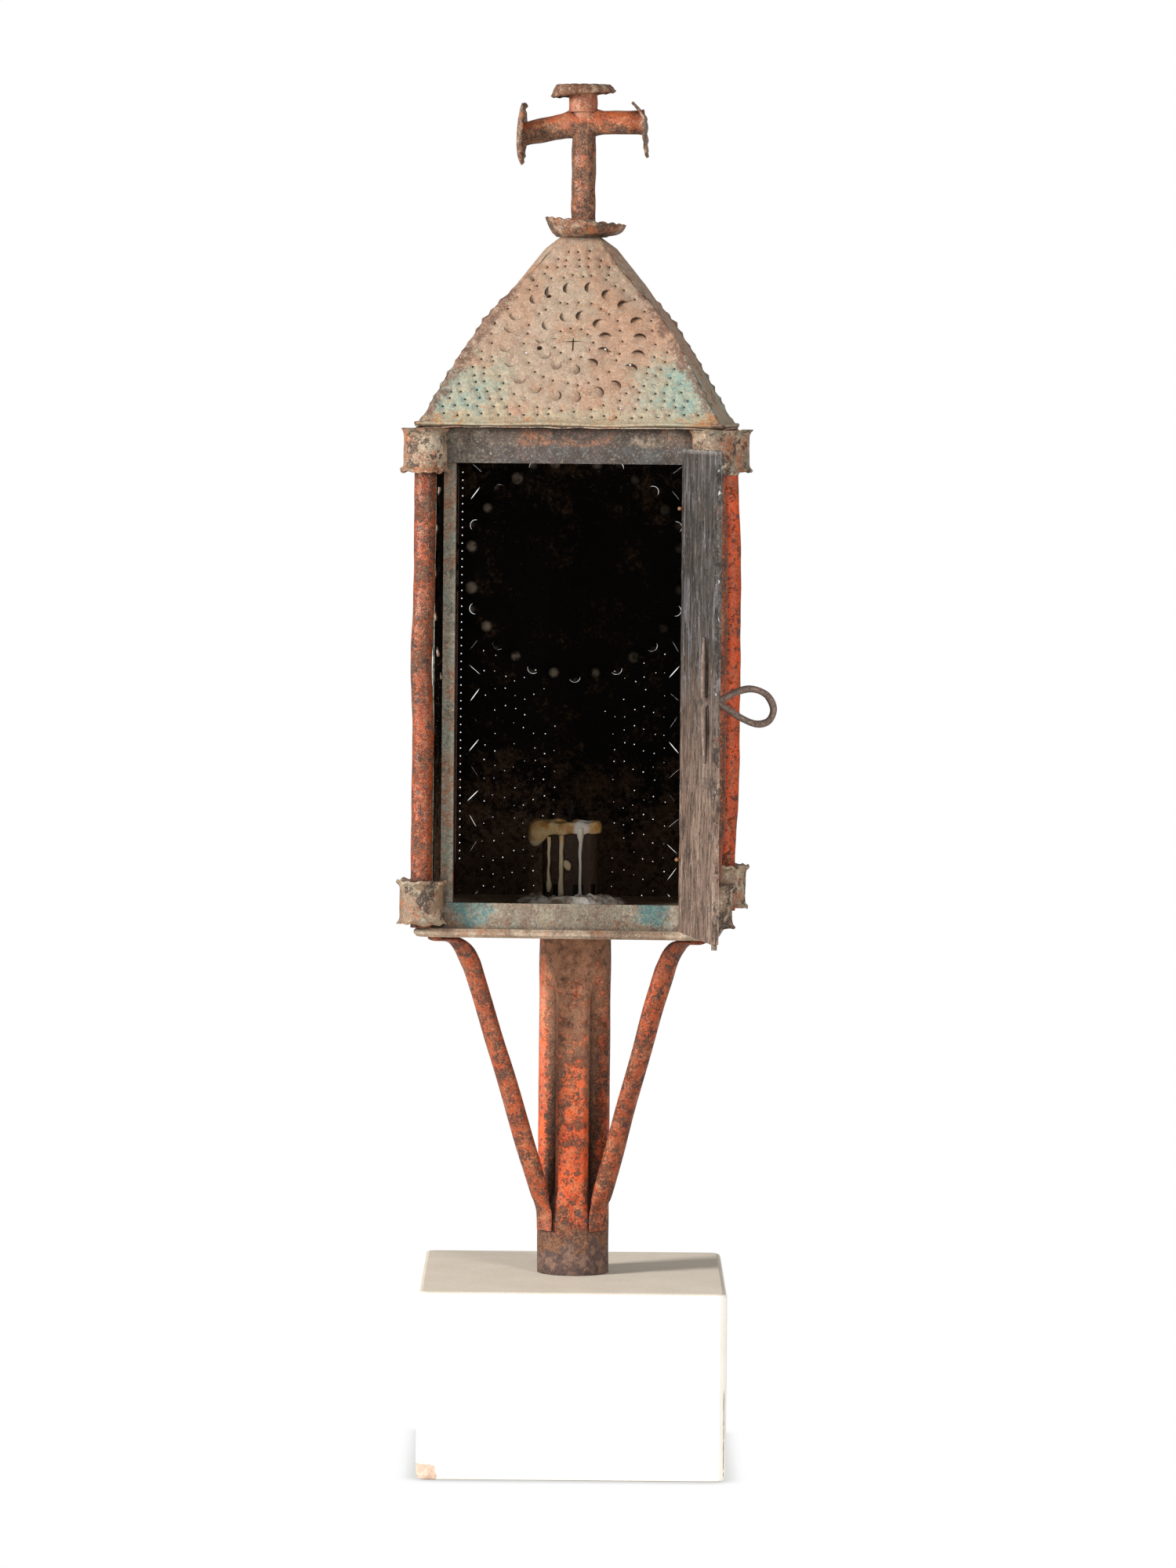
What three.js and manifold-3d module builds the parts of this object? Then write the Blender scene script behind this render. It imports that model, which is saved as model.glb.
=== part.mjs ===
// A pierced tin lantern with a pole socket, on a wooden block. Millimetres, +Z up.
// The origin is the middle of the block's underside, and the door side faces -Y.
import * as THREE from 'three';
import { mergeVertices } from 'three/addons/utils/BufferGeometryUtils.js';
import Module from 'manifold-3d';

const wasm = await Module();
wasm.setup();

const DEGREE = Math.PI / 180;
const FULL_TURN = 2 * Math.PI;

// Shared sizes
const GAP = 0.3;
const OVERRUN = 3;
const TIN = 0.8;
const FINEST_EDGE = 0.05;

// Wooden block, turned a little under the lantern, and the peg that stands on it
const BLOCK_WIDTH = 193;
const BLOCK_DEPTH = 216;
const BLOCK_HEIGHT = 117;
const BLOCK_ROUNDING = 3;
const BLOCK_CORNER = 4;
const BLOCK_YAW = 4 * DEGREE;
const STUB_LENGTH = 38;
const STUB_CLEARANCE = 0.5;
const STUB_CHAMFER = 2;

// Pole socket: a rolled tube, plain at both ends, with four pressed flutes between
const SOCKET_RADIUS = 22.75;
const SOCKET_WALL = 1.2;
const SOCKET_FOOT_RING = 38;
const SOCKET_HEAD_RING = 40;
const FLUTE_DEPTH = 6.5;
const FLUTE_RUN_OUT = 16;
const FLUTE_HALF_ANGLE = 19 * DEGREE;

// Floor tray: raised floor, skirt, flange and rolled bead
const BEAD_BOTTOM = 336.4;
const BEAD_RADIUS = 2.7;
const TRAY_MARGIN = 7.9;
const TRAY_CORNER = 8;
const FLOOR_RISE = 11.2;

// Chamber
const CHAMBER_HEIGHT = 314.9;
const WALL_HALF = 85.1;
const FRAME_PROUD = 0.5;
const FRAME_TIN = 0.9;
const FRAME_RETURN = 5;
const OPENING_INSET = 13.6;
const JAMB_WIDTH = 7.5;
const BOTTOM_RAIL_HEIGHT = 17.3;
const TOP_RAIL_HEIGHT = 21.8;

// Corner posts and their flared collars
const POST_OUTSET = 5.4;
const POST_RADIUS = 6.75;
const DENT_HEIGHT = 168;
const DENT_LENGTH = 52;
const DENT_SHIFT = 1.6;
const COLLAR_WAIST = 13.1;
const COLLAR_RIM = 15.2;
const COLLAR_HEIGHT = 27.5;
const COLLAR_FLARE = 4.5;
const BASE_COLLAR_CLEARANCE = 2;

// Cornice and roof
const CORNICE_MARGIN = 11.9;
const CORNICE_OPENING_INSET = 6.1;
const CORNICE_CORNER = 3;
const ROOF_MARGIN = 8.9;
const ROOF_HEIGHT = 121;
const ROOF_BELLY = 5.5;
const ROOF_HEM = 2.5;
const ROOF_HEM_HEIGHT = 5;
const NECK_RADIUS = 16.5;
const NECK_RING_HEIGHT = 6;
const DISH_RADIUS = 26;
const DISH_RISE = 5.5;
const DISH_TILT = 5 * DEGREE;

// Cross of tin tubes with scalloped rosettes
const STEM_RADIUS = 7.35;
const STEM_LENGTH = 87;
const ARM_HEIGHT = 65.5;
const ARM_RADIUS = 7.1;
const ARM_LEFT_REACH = 36.5;
const ARM_RIGHT_REACH = 39.5;
const ARM_DROOP = 9 * DEGREE;
const SLEEVE_WALL = 0.8;
const ROSETTE_RADIUS = 19.5;
const ROSETTE_CURL = 2.2;
const ROSETTE_RIGHT_TILT = 8 * DEGREE;

// Braces, from the tray's front corners down to the socket
const BRACE_WIDTH = 11;
const BRACE_THICKNESS = 5;
const BRACE_END_THICKNESS = 2;
const BRACE_FOOT_BOTTOM = 28;
const BRACE_FOOT_LENGTH = 13;
const BRACE_SHOULDER_INSET = 23.7;
const BRACE_SHOULDER_DROP = 7.5;
const BRACE_TIP_INSET = 6.7;

// Door board, hung on the right jamb
const DOOR_LAP = 3;
const DOOR_FREE_RISE = 3.5;
const DOOR_THICKNESS = 5;
const DOOR_FOOT_CLEARANCE = 2.3;
const DOOR_HEAD_CLEARANCE = 11.6;
const DOOR_REST_ANGLE = 101 * DEGREE;
const DOOR_FACE_CLEARANCE = 0.5;

// Wire hinges: a pintle on the jamb and an eye through the board
const HINGE_AXIS_INSET = 6.1;
const HINGE_AXIS_PROUD = 4.4;
const HINGE_EDGE_SETBACK = 4.6;
const UPPER_HINGE_DROP = 37.2;
const LOWER_HINGE_RISE = 45.5;
const PINTLE_RADIUS = 1.2;
const PINTLE_LENGTH = 14;
const PINTLE_FOOT_INSET = 2.1;
const EYE_WIRE = 1.1;
const EYE_PLAY = 0.4;
const EYE_LEG_INSET = 6;
const CLINCH_LENGTH = 4;

// Wire pull: a loop outside, its two ends clinched over the inner face
const PULL_FROM_FREE_EDGE = 24;
const PULL_RISE = 148.5;
const PULL_WIRE = 2.2;
const PULL_PRONG = 1.8;
const PULL_LOOP_LENGTH = 33;
const PULL_LOOP_HALF = 11;
const PULL_DROOP = 12 * DEGREE;
const PULL_UPPER_PRONG = 40;
const PULL_LOWER_PRONG = 38;
const PULL_TIP = 0.8;

// Pin under the free end of the door
const DOOR_PIN_RADIUS = 1.75;
const DOOR_PIN_LENGTH = 3.2;
const DOOR_PIN_INSET = 5;

// Candle socket, candle and wax
const CANDLE_X = -4;
const CANDLE_SOCKET_RADIUS = 17.5;
const CANDLE_SOCKET_HEIGHT = 48;
const WINDOW_WIDTH = 7;
const WINDOW_HEIGHT = 7.2;
const WINDOW_SILL = 6.3;
const CANDLE_CLEARANCE = 0.5;
const CANDLE_PROUD = 4;
const WICK_RADIUS = 1;
const WICK_LENGTH = 14;
const WAX_RIM_DROP = 5;
const WAX_RIM_RISE = 9;
const WAX_RIM_PROUD = 3;
const WAX_BLOB = 8;
const WAX_BLOB_DROP = 9;
const WAX_RUN_RADIUS = 1.4;
const WAX_RUN_ANGLES = [236 * DEGREE, 272 * DEGREE, 304 * DEGREE];
const WAX_POOL_REACH = 21;
const WAX_POOL_HEIGHT = 4.5;

// Piercings
const DOT_RADIUS = 1;
const CRESCENT_RADIUS = 4.2;
const CRESCENT_WIDTH = 1.5;
const SLASH_LENGTH = 9;
const SLASH_WIDTH = 1;
const WALL_RING_INSET = 17.1;
const WALL_RING_SHIFT = -8;
const WALL_RING_DROP = 91.4;
const WALL_EDGE_INSET = 9;
const FAN_PITCH = 12.2;
const ROOF_MOTIF_HEIGHT = 53;
const ROOF_INNER_RING = 20;
const ROOF_OUTER_RING = 41.5;
const ROOF_CROSS_LENGTH = 14;
const ROOF_CROSS_WIDTH = 1.2;

// Widths that follow from the driving sizes
const TRAY_HALF = WALL_HALF + TRAY_MARGIN;
const FRAME_FACE = WALL_HALF + FRAME_PROUD;
const OPENING_HALF = WALL_HALF - OPENING_INSET;
const POST_OFFSET = WALL_HALF + POST_OUTSET;
const CORNICE_HALF = WALL_HALF + CORNICE_MARGIN;
const CORNICE_OPENING_HALF = WALL_HALF - CORNICE_OPENING_INSET;
const ROOF_EAVE_HALF = WALL_HALF + ROOF_MARGIN;
const WALL_OUTER = WALL_HALF + TIN / 2;
const WALL_RING_RADIUS = WALL_HALF - WALL_RING_INSET;
const RAIL_HALF = WALL_HALF - TIN / 2 - GAP;
const DOOR_WIDTH = 2 * (OPENING_HALF + DOOR_LAP);
const HINGE_AXIS_X = WALL_HALF - HINGE_AXIS_INSET;
const HINGE_AXIS_Y = -FRAME_FACE - DOOR_FACE_CLEARANCE - DOOR_THICKNESS - HINGE_AXIS_PROUD;

// Heights that follow from the driving sizes
const SOCKET_BOTTOM = BLOCK_HEIGHT + GAP;
const BEAD_MIDDLE = BEAD_BOTTOM + BEAD_RADIUS;
const BEAD_TOP = BEAD_MIDDLE + BEAD_RADIUS;
const FLANGE_TOP = BEAD_MIDDLE + TIN;
const FLOOR_TOP = FLANGE_TOP + FLOOR_RISE;
const WALL_BOTTOM = FLANGE_TOP + GAP;
const CORNICE_BOTTOM = WALL_BOTTOM + CHAMBER_HEIGHT;
const WALL_TOP = CORNICE_BOTTOM - GAP;
const ROOF_BOTTOM = CORNICE_BOTTOM + TIN + GAP;
const ROOF_TOP = ROOF_BOTTOM + ROOF_HEIGHT;
const DISH_BOTTOM = ROOF_TOP + GAP + NECK_RING_HEIGHT + GAP;
const STEM_BOTTOM = DISH_BOTTOM + TIN + GAP;
const ARM_Z = STEM_BOTTOM + ARM_HEIGHT;
const DOOR_BOTTOM = WALL_BOTTOM + DOOR_FOOT_CLEARANCE;
const DOOR_TOP = WALL_TOP - DOOR_HEAD_CLEARANCE;
const UPPER_HINGE_Z = DOOR_TOP - UPPER_HINGE_DROP;
const LOWER_HINGE_Z = DOOR_BOTTOM + LOWER_HINGE_RISE;
const PULL_Z = DOOR_BOTTOM + PULL_RISE;

// Finishes, from the worn paint, rust, soot and wax
const WHITE_PAINT = { color: '#ece8dc', roughness: 0.75, metalness: 0 };
const BARE_WOOD = { color: '#9c7a55', roughness: 0.8, metalness: 0 };
const GREY_WOOD = { color: '#6d6259', roughness: 0.85, metalness: 0 };
const RED_PAINT = { color: '#b5532e', roughness: 0.65, metalness: 0.2 };
const RUSTY_TIN = { color: '#8d7560', roughness: 0.75, metalness: 0.35 };
const DARK_TIN = { color: '#5b5047', roughness: 0.7, metalness: 0.4 };
const ROOF_TIN = { color: '#a0836c', roughness: 0.8, metalness: 0.3 };
const SOOTY_TIN = { color: '#2a221c', roughness: 0.85, metalness: 0.2 };
const RUSTY_WIRE = { color: '#6a5145', roughness: 0.6, metalness: 0.6 };
const WAX = { color: '#d9c9a0', roughness: 0.45, metalness: 0 };
const CHARRED = { color: '#17120f', roughness: 0.95, metalness: 0 };

// Geometry helpers

// Returns the geometry with its faces turned outwards.
function facingOut(geometry) {
  const places = geometry.attributes.position;
  const index = geometry.index.array;
  const [a, b, c] = [new THREE.Vector3(), new THREE.Vector3(), new THREE.Vector3()];
  let volume = 0;
  for (let i = 0; i < index.length; i += 3) {
    a.fromBufferAttribute(places, index[i]);
    b.fromBufferAttribute(places, index[i + 1]);
    c.fromBufferAttribute(places, index[i + 2]);
    volume += a.dot(b.cross(c));
  }
  if (volume < 0) index.reverse();
  geometry.computeVertexNormals();
  return geometry;
}

// Joins rings of equally many points into a closed solid. A loop of rings makes a tube wall,
// and an open run of rings gets a cap at each end.
function loft(rings, isLoop = false) {
  const count = rings[0].length;
  const points = rings.flat();
  const faces = [];
  const bands = isLoop ? rings.length : rings.length - 1;
  for (let r = 0; r < bands; r++) {
    const low = r * count;
    const high = ((r + 1) % rings.length) * count;
    for (let i = 0; i < count; i++) {
      const next = (i + 1) % count;
      faces.push(low + i, low + next, high + next, low + i, high + next, high + i);
    }
  }
  if (!isLoop) {
    const last = (rings.length - 1) * count;
    for (const [start, ring, isFirst] of [[0, rings[0], true], [last, rings.at(-1), false]]) {
      const centre = points.length;
      points.push(ring.reduce((sum, p) => sum.add(p), new THREE.Vector3()).divideScalar(count));
      for (let i = 0; i < count; i++) {
        const next = (i + 1) % count;
        faces.push(centre, start + (isFirst ? next : i), start + (isFirst ? i : next));
      }
    }
  }
  const geometry = new THREE.BufferGeometry().setFromPoints(points);
  geometry.setIndex(faces);
  return facingOut(geometry);
}

// Revolves a closed profile of [radius, height] points round the Z axis.
function revolve(profile, segments) {
  const rings = profile.map(([radius, height]) => circle(radius, height, segments));
  return loft(rings, true);
}

function circle(radius, height, segments, x = 0, y = 0) {
  const ring = [];
  for (let i = 0; i < segments; i++) {
    const angle = FULL_TURN * (i + 0.5) / segments;
    ring.push(new THREE.Vector3(x + radius * Math.cos(angle), y + radius * Math.sin(angle), height));
  }
  return ring;
}

// A tube wall between two heights, open at both ends.
function tubeWall(radius, wall, bottom, top, segments) {
  const inner = radius - wall;
  return revolve([[radius, bottom], [radius, top], [inner, top], [inner, bottom]], segments);
}

function slab([left, right], [front, back], [bottom, top]) {
  const geometry = new THREE.BoxGeometry(right - left, back - front, top - bottom);
  return geometry.translate((left + right) / 2, (front + back) / 2, (bottom + top) / 2);
}

// Sweeps a round section through a line of points, its radius a function of the share travelled.
function sweep(points, sides, radiusAt) {
  const last = points.length - 1;
  const tangents = points.map((point, i) => (
    points[Math.min(i + 1, last)].clone().sub(points[Math.max(i - 1, 0)]).normalize()));
  const travelled = [0];
  for (let i = 1; i <= last; i++) travelled.push(travelled[i - 1] + points[i].distanceTo(points[i - 1]));
  const isUpright = Math.abs(tangents[0].z) > Math.SQRT1_2;
  const normal = new THREE.Vector3(isUpright ? 1 : 0, 0, isUpright ? 0 : 1).cross(tangents[0]).normalize();
  const rings = points.map((point, i) => {
    if (i) normal.applyQuaternion(new THREE.Quaternion().setFromUnitVectors(tangents[i - 1], tangents[i]));
    const binormal = tangents[i].clone().cross(normal);
    const radius = radiusAt(travelled[i] / travelled[last]);
    const ring = [];
    for (let k = 0; k < sides; k++) {
      const angle = FULL_TURN * k / sides;
      ring.push(point.clone()
        .addScaledVector(normal, radius * Math.cos(angle))
        .addScaledVector(binormal, radius * Math.sin(angle)));
    }
    return ring;
  });
  return loft(rings);
}

// The points of a run of straight lines with rounded corners.
function bentWire(points, bend) {
  const route = [points[0]];
  for (let i = 1; i < points.length - 1; i++) {
    const corner = points[i];
    const before = corner.clone().add(points[i - 1].clone().sub(corner).setLength(bend));
    const after = corner.clone().add(points[i + 1].clone().sub(corner).setLength(bend));
    route.push(...new THREE.QuadraticBezierCurve3(before, corner, after).getPoints(2));
  }
  route.push(points.at(-1));
  return route;
}

function toSolid(geometry) {
  const bare = geometry.clone();
  bare.deleteAttribute('normal');
  bare.deleteAttribute('uv');
  const merged = mergeVertices(bare);
  return new wasm.Manifold(new wasm.Mesh({
    numProp: 3,
    vertProperties: merged.attributes.position.array,
    triVerts: new Uint32Array(merged.index.array),
  }));
}

function toGeometry(solid) {
  const mesh = solid.simplify(FINEST_EDGE).getMesh();
  const geometry = new THREE.BufferGeometry();
  geometry.setAttribute('position', new THREE.BufferAttribute(mesh.vertProperties, 3));
  geometry.setIndex(new THREE.BufferAttribute(mesh.triVerts, 1));
  geometry.computeVertexNormals();
  return geometry;
}

function cut(geometry, cutters) {
  return toGeometry(cutters.reduce((solid, cutter) => solid.subtract(toSolid(cutter)), toSolid(geometry)));
}

function join(geometries) {
  return toGeometry(geometries.map(toSolid).reduce((whole, piece) => whole.add(piece)));
}

function roundedSquare(half, corner) {
  const shape = new THREE.Shape();
  const turn = half - corner;
  shape.absarc(turn, turn, corner, 0, FULL_TURN / 4);
  shape.absarc(-turn, turn, corner, FULL_TURN / 4, FULL_TURN / 2);
  shape.absarc(-turn, -turn, corner, FULL_TURN / 2, FULL_TURN * 3 / 4);
  shape.absarc(turn, -turn, corner, FULL_TURN * 3 / 4, FULL_TURN);
  shape.closePath();
  return shape;
}

// Extrudes a flat outline straight up from a height.
function plate(shape, bottom, thickness, curveSegments = 3) {
  const geometry = new THREE.ExtrudeGeometry(shape, { depth: thickness, bevelEnabled: false, curveSegments });
  return geometry.translate(0, 0, bottom);
}

// Extrudes an outline drawn in X and Z from the face at `front` backwards along +Y.
function uprightPlate(shape, front, thickness) {
  const geometry = new THREE.ExtrudeGeometry(shape, { depth: thickness, bevelEnabled: false });
  return geometry.rotateX(FULL_TURN / 4).translate(0, front + thickness, 0);
}

function outline(points) {
  return new THREE.Shape(points.map(([x, y]) => new THREE.Vector2(x, y)));
}

// A scalloped sheet disc: rings of [radius, height] with its petals growing towards the edge.
function scallopedDisc(profile, petals, scallop, tilt = 0) {
  const count = petals * 2;
  const outer = profile.at(-1)[0];
  const inner = profile[0][0];
  const ringAt = ([radius, height], lift) => {
    const ring = [];
    for (let i = 0; i < count; i++) {
      const angle = FULL_TURN * i / count;
      const share = (radius - inner) / (outer - inner);
      const wave = Math.cos(petals * angle) * scallop * share;
      const reach = radius + wave;
      const drop = reach * Math.cos(angle) * Math.tan(tilt) * share;
      ring.push(new THREE.Vector3(reach * Math.cos(angle), reach * Math.sin(angle),
        height + lift + wave / 2 - drop));
    }
    return ring;
  };
  const under = profile.map((point) => ringAt(point, 0));
  const over = profile.map((point) => ringAt(point, TIN)).reverse();
  return loft([...under, ...over]);
}

// Piercing shapes, as outlines round the origin
const CRESCENT_SPREAD = 100 * DEGREE;

// A thin moon with its back towards `facing`.
function crescentPoints(x, y, facing) {
  const onArc = (angle, radius) => [
    x + radius * Math.cos(facing + angle),
    y + radius * Math.sin(facing + angle),
  ];
  return [
    onArc(-CRESCENT_SPREAD, CRESCENT_RADIUS),
    onArc(-CRESCENT_SPREAD / 3, CRESCENT_RADIUS),
    onArc(CRESCENT_SPREAD / 3, CRESCENT_RADIUS),
    onArc(CRESCENT_SPREAD, CRESCENT_RADIUS),
    onArc(0, CRESCENT_RADIUS - 2 * CRESCENT_WIDTH),
  ];
}

// A nail hole, four-sided as the punch leaves it.
function dotPoints(x, y) {
  return [[x + DOT_RADIUS, y], [x, y + DOT_RADIUS], [x - DOT_RADIUS, y], [x, y - DOT_RADIUS]];
}

function slashPoints(x, y, angle) {
  const along = [Math.cos(angle) * SLASH_LENGTH / 2, Math.sin(angle) * SLASH_LENGTH / 2];
  const across = [-Math.sin(angle) * SLASH_WIDTH / 2, Math.cos(angle) * SLASH_WIDTH / 2];
  return [
    [x - along[0] - across[0], y - along[1] - across[1]],
    [x + along[0] - across[0], y + along[1] - across[1]],
    [x + along[0] + across[0], y + along[1] + across[1]],
    [x - along[0] + across[0], y - along[1] + across[1]],
  ];
}

function ringOf(count, radius, make, start = 0) {
  const made = [];
  for (let i = 0; i < count; i++) {
    const angle = start + FULL_TURN * i / count;
    made.push(make(radius * Math.cos(angle), radius * Math.sin(angle), angle));
  }
  return made;
}

// Stand
function displayBlock() {
  const shape = new THREE.Shape();
  const halfWidth = BLOCK_WIDTH / 2 - BLOCK_ROUNDING;
  const halfDepth = BLOCK_DEPTH / 2 - BLOCK_ROUNDING;
  const corners = [[1, 1], [-1, 1], [-1, -1], [1, -1]];
  corners.forEach(([x, y], i) => {
    const start = FULL_TURN * i / 4;
    shape.absarc(x * (halfWidth - BLOCK_CORNER), y * (halfDepth - BLOCK_CORNER), BLOCK_CORNER,
      start, start + FULL_TURN / 4);
  });
  const geometry = new THREE.ExtrudeGeometry(shape, {
    depth: BLOCK_HEIGHT - 2 * BLOCK_ROUNDING,
    bevelThickness: BLOCK_ROUNDING,
    bevelSize: BLOCK_ROUNDING,
    bevelSegments: 2,
    curveSegments: 2,
  });
  return geometry.translate(0, 0, BLOCK_ROUNDING).rotateZ(BLOCK_YAW);
}

function stubPole() {
  const radius = SOCKET_RADIUS - SOCKET_WALL - STUB_CLEARANCE;
  const top = SOCKET_BOTTOM + STUB_LENGTH;
  const sides = 20;
  return loft([
    circle(radius, SOCKET_BOTTOM, sides),
    circle(radius, top - STUB_CHAMFER, sides),
    circle(radius - STUB_CHAMFER, top, sides),
  ]);
}

// Pole socket: the share of the flute's depth at an angle and at a height
function fluteAt(angle) {
  const quarter = FULL_TURN / 4;
  const fromDiagonal = Math.abs(((angle + FULL_TURN) % quarter) - quarter / 2);
  if (fromDiagonal > FLUTE_HALF_ANGLE) return 0;
  return Math.cos(fromDiagonal / FLUTE_HALF_ANGLE * FULL_TURN / 4) ** 2;
}

function poleSocket() {
  const bottom = SOCKET_BOTTOM;
  const top = FLOOR_TOP - TIN - GAP;
  const fluteBottom = bottom + SOCKET_FOOT_RING;
  const fluteTop = top - SOCKET_HEAD_RING;
  const quarter = FULL_TURN / 4;
  const angles = [];
  const fluteShares = [-1, -0.5, 0, 0.5, 1];
  const lobeShares = [-0.4, 0.4];
  for (let k = 0; k < 4; k++) {
    const flute = quarter * (k + 0.5);
    const lobe = quarter * (k + 1);
    const lobeHalf = quarter / 2 - FLUTE_HALF_ANGLE;
    angles.push(...fluteShares.map((share) => flute + share * FLUTE_HALF_ANGLE));
    angles.push(...lobeShares.map((share) => lobe + share * lobeHalf));
  }
  const rows = [
    [bottom, 0],
    [fluteBottom, 0],
    [fluteBottom + FLUTE_RUN_OUT, 1],
    [fluteTop - FLUTE_RUN_OUT, 1],
    [fluteTop, 0],
    [top, 0],
  ];
  const ringAt = ([height, depthShare], inset) => angles.map((angle) => {
    const radius = SOCKET_RADIUS - inset - FLUTE_DEPTH * depthShare * fluteAt(angle);
    return new THREE.Vector3(radius * Math.cos(angle), radius * Math.sin(angle), height);
  });
  const outside = rows.map((row) => ringAt(row, 0));
  const inside = rows.map((row) => ringAt(row, SOCKET_WALL)).reverse();
  return loft([...outside, ...inside], true);
}

// A flattened tin strap in the upright plane through the axis and a front corner
function brace(side) {
  const foot = SOCKET_RADIUS + GAP + BRACE_END_THICKNESS / 2;
  const bottom = SOCKET_BOTTOM + BRACE_FOOT_BOTTOM;
  const tipHeight = BEAD_MIDDLE - GAP - BRACE_END_THICKNESS / 2;
  const shoulderHeight = tipHeight - BRACE_SHOULDER_DROP;
  const heel = bottom + BRACE_FOOT_LENGTH;
  const tipReach = (TRAY_HALF - BRACE_TIP_INSET) * Math.SQRT2;
  const shoulderReach = (TRAY_HALF - BRACE_SHOULDER_INSET) * Math.SQRT2;
  const toShoulder = [shoulderReach - foot, shoulderHeight - heel];
  const along = (share) => [foot + toShoulder[0] * share, heel + toShoulder[1] * share];
  const full = BRACE_THICKNESS;
  const flat = BRACE_END_THICKNESS;
  const [flatShare, fullShare, middleShare, shoulderShare] = [0.06, 0.14, 0.5, 0.93];
  const stations = [
    [foot, bottom, flat],
    [foot, heel - BRACE_END_THICKNESS, flat],
    [...along(flatShare), flat],
    [...along(fullShare), full],
    [...along(middleShare), full],
    [...along(shoulderShare), full],
    [...along(1), (flat + full) / 2],
    [(shoulderReach + tipReach) / 2, tipHeight, flat],
    [tipReach, tipHeight, flat],
  ];
  const diagonal = new THREE.Vector3(side, -1, 0).normalize();
  const across = new THREE.Vector3(1, side, 0).normalize();
  const up = new THREE.Vector3(0, 0, 1);
  const rings = stations.map(([reach, height, thickness], i) => {
    const before = stations[Math.max(i - 1, 0)];
    const after = stations[Math.min(i + 1, stations.length - 1)];
    const run = new THREE.Vector2(after[0] - before[0], after[1] - before[1]).normalize();
    const facing = diagonal.clone().multiplyScalar(run.y).addScaledVector(up, -run.x);
    const centre = diagonal.clone().multiplyScalar(reach).addScaledVector(up, height);
    const ring = [];
    const sides = 8;
    for (let k = 0; k < sides; k++) {
      const angle = FULL_TURN * (k + 0.5) / sides;
      ring.push(centre.clone()
        .addScaledVector(across, Math.cos(angle) * BRACE_WIDTH / 2)
        .addScaledVector(facing, Math.sign(Math.sin(angle)) * Math.sqrt(Math.abs(Math.sin(angle)))
          * thickness / 2));
    }
    return ring;
  });
  return loft(rings);
}

// Floor tray
function floorTray() {
  const floorHalf = RAIL_HALF;
  const core = BEAD_RADIUS / 3;
  const bevel = BEAD_RADIUS - core;
  const beadShape = roundedSquare(TRAY_HALF + core, TRAY_CORNER + core);
  beadShape.holes.push(roundedSquare(TRAY_HALF - core, TRAY_CORNER - core));
  const bead = new THREE.ExtrudeGeometry(beadShape, {
    depth: 2 * core, bevelThickness: bevel, bevelSize: bevel, bevelSegments: 1, curveSegments: 2,
  });
  bead.translate(0, 0, BEAD_MIDDLE - core);
  const flangeShape = roundedSquare(TRAY_HALF, TRAY_CORNER);
  flangeShape.holes.push(roundedSquare(floorHalf - TIN, TRAY_CORNER / 4));
  const flange = plate(flangeShape, FLANGE_TOP - TIN, TIN);
  const skirtShape = roundedSquare(floorHalf, TRAY_CORNER / 4);
  skirtShape.holes.push(roundedSquare(floorHalf - TIN, TRAY_CORNER / 4));
  const skirt = plate(skirtShape, FLANGE_TOP - TIN, FLOOR_TOP - FLANGE_TOP + TIN);
  const floor = plate(roundedSquare(floorHalf, TRAY_CORNER / 4), FLOOR_TOP - TIN, TIN);
  return join([bead, flange, skirt, floor]);
}

// Door frame: tin strips, each with one edge turned inwards
function bottomRail() {
  const top = WALL_BOTTOM + BOTTOM_RAIL_HEIGHT;
  const back = -FRAME_FACE + FRAME_TIN;
  const face = slab([-RAIL_HALF, RAIL_HALF], [-FRAME_FACE, back], [WALL_BOTTOM, top]);
  const lip = slab([-OPENING_HALF, OPENING_HALF], [-FRAME_FACE, back + TIN], [top - TIN, top]);
  return join([face, lip]);
}

function topRail() {
  const bottom = WALL_TOP - TOP_RAIL_HEIGHT;
  const back = -FRAME_FACE + FRAME_TIN;
  const face = slab([-RAIL_HALF, RAIL_HALF], [-FRAME_FACE, back], [bottom, WALL_TOP]);
  const lip = slab([-OPENING_HALF, OPENING_HALF], [-FRAME_FACE, back + FRAME_RETURN],
    [bottom, bottom + TIN]);
  return join([face, lip]);
}

function jamb(side) {
  const inner = side * (OPENING_HALF + TIN);
  const outer = side * (OPENING_HALF + JAMB_WIDTH);
  const edge = side * OPENING_HALF;
  const heights = [WALL_BOTTOM + BOTTOM_RAIL_HEIGHT + GAP, WALL_TOP - TOP_RAIL_HEIGHT - GAP];
  const back = -FRAME_FACE + FRAME_TIN;
  const ordered = (a, b) => [Math.min(a, b), Math.max(a, b)];
  const face = slab(ordered(edge, outer), [-FRAME_FACE, back], heights);
  const returned = slab(ordered(edge, inner), [-FRAME_FACE, back + FRAME_RETURN], heights);
  return join([face, returned]);
}

// Corner posts: tin tubes, the front left one bulged outwards where it was knocked
function cornerPost(x, y, isDented) {
  const bottom = BEAD_TOP + GAP;
  const rows = [[bottom, 0], [WALL_TOP, 0]];
  if (isDented) {
    const middle = WALL_BOTTOM + DENT_HEIGHT;
    rows.splice(1, 0, [middle - DENT_LENGTH, 0], [middle, 1], [middle + DENT_LENGTH, 0]);
  }
  const sides = 12;
  const ringAt = ([height, bulge], radius) => {
    const shift = DENT_SHIFT * bulge;
    return circle(radius, height, sides, x + Math.sign(x) * shift, y + Math.sign(y) * shift);
  };
  const outside = rows.map((row) => ringAt(row, POST_RADIUS));
  const inside = rows.map((row) => ringAt(row, POST_RADIUS - TIN)).reverse();
  return loft([...outside, ...inside], true);
}

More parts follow.
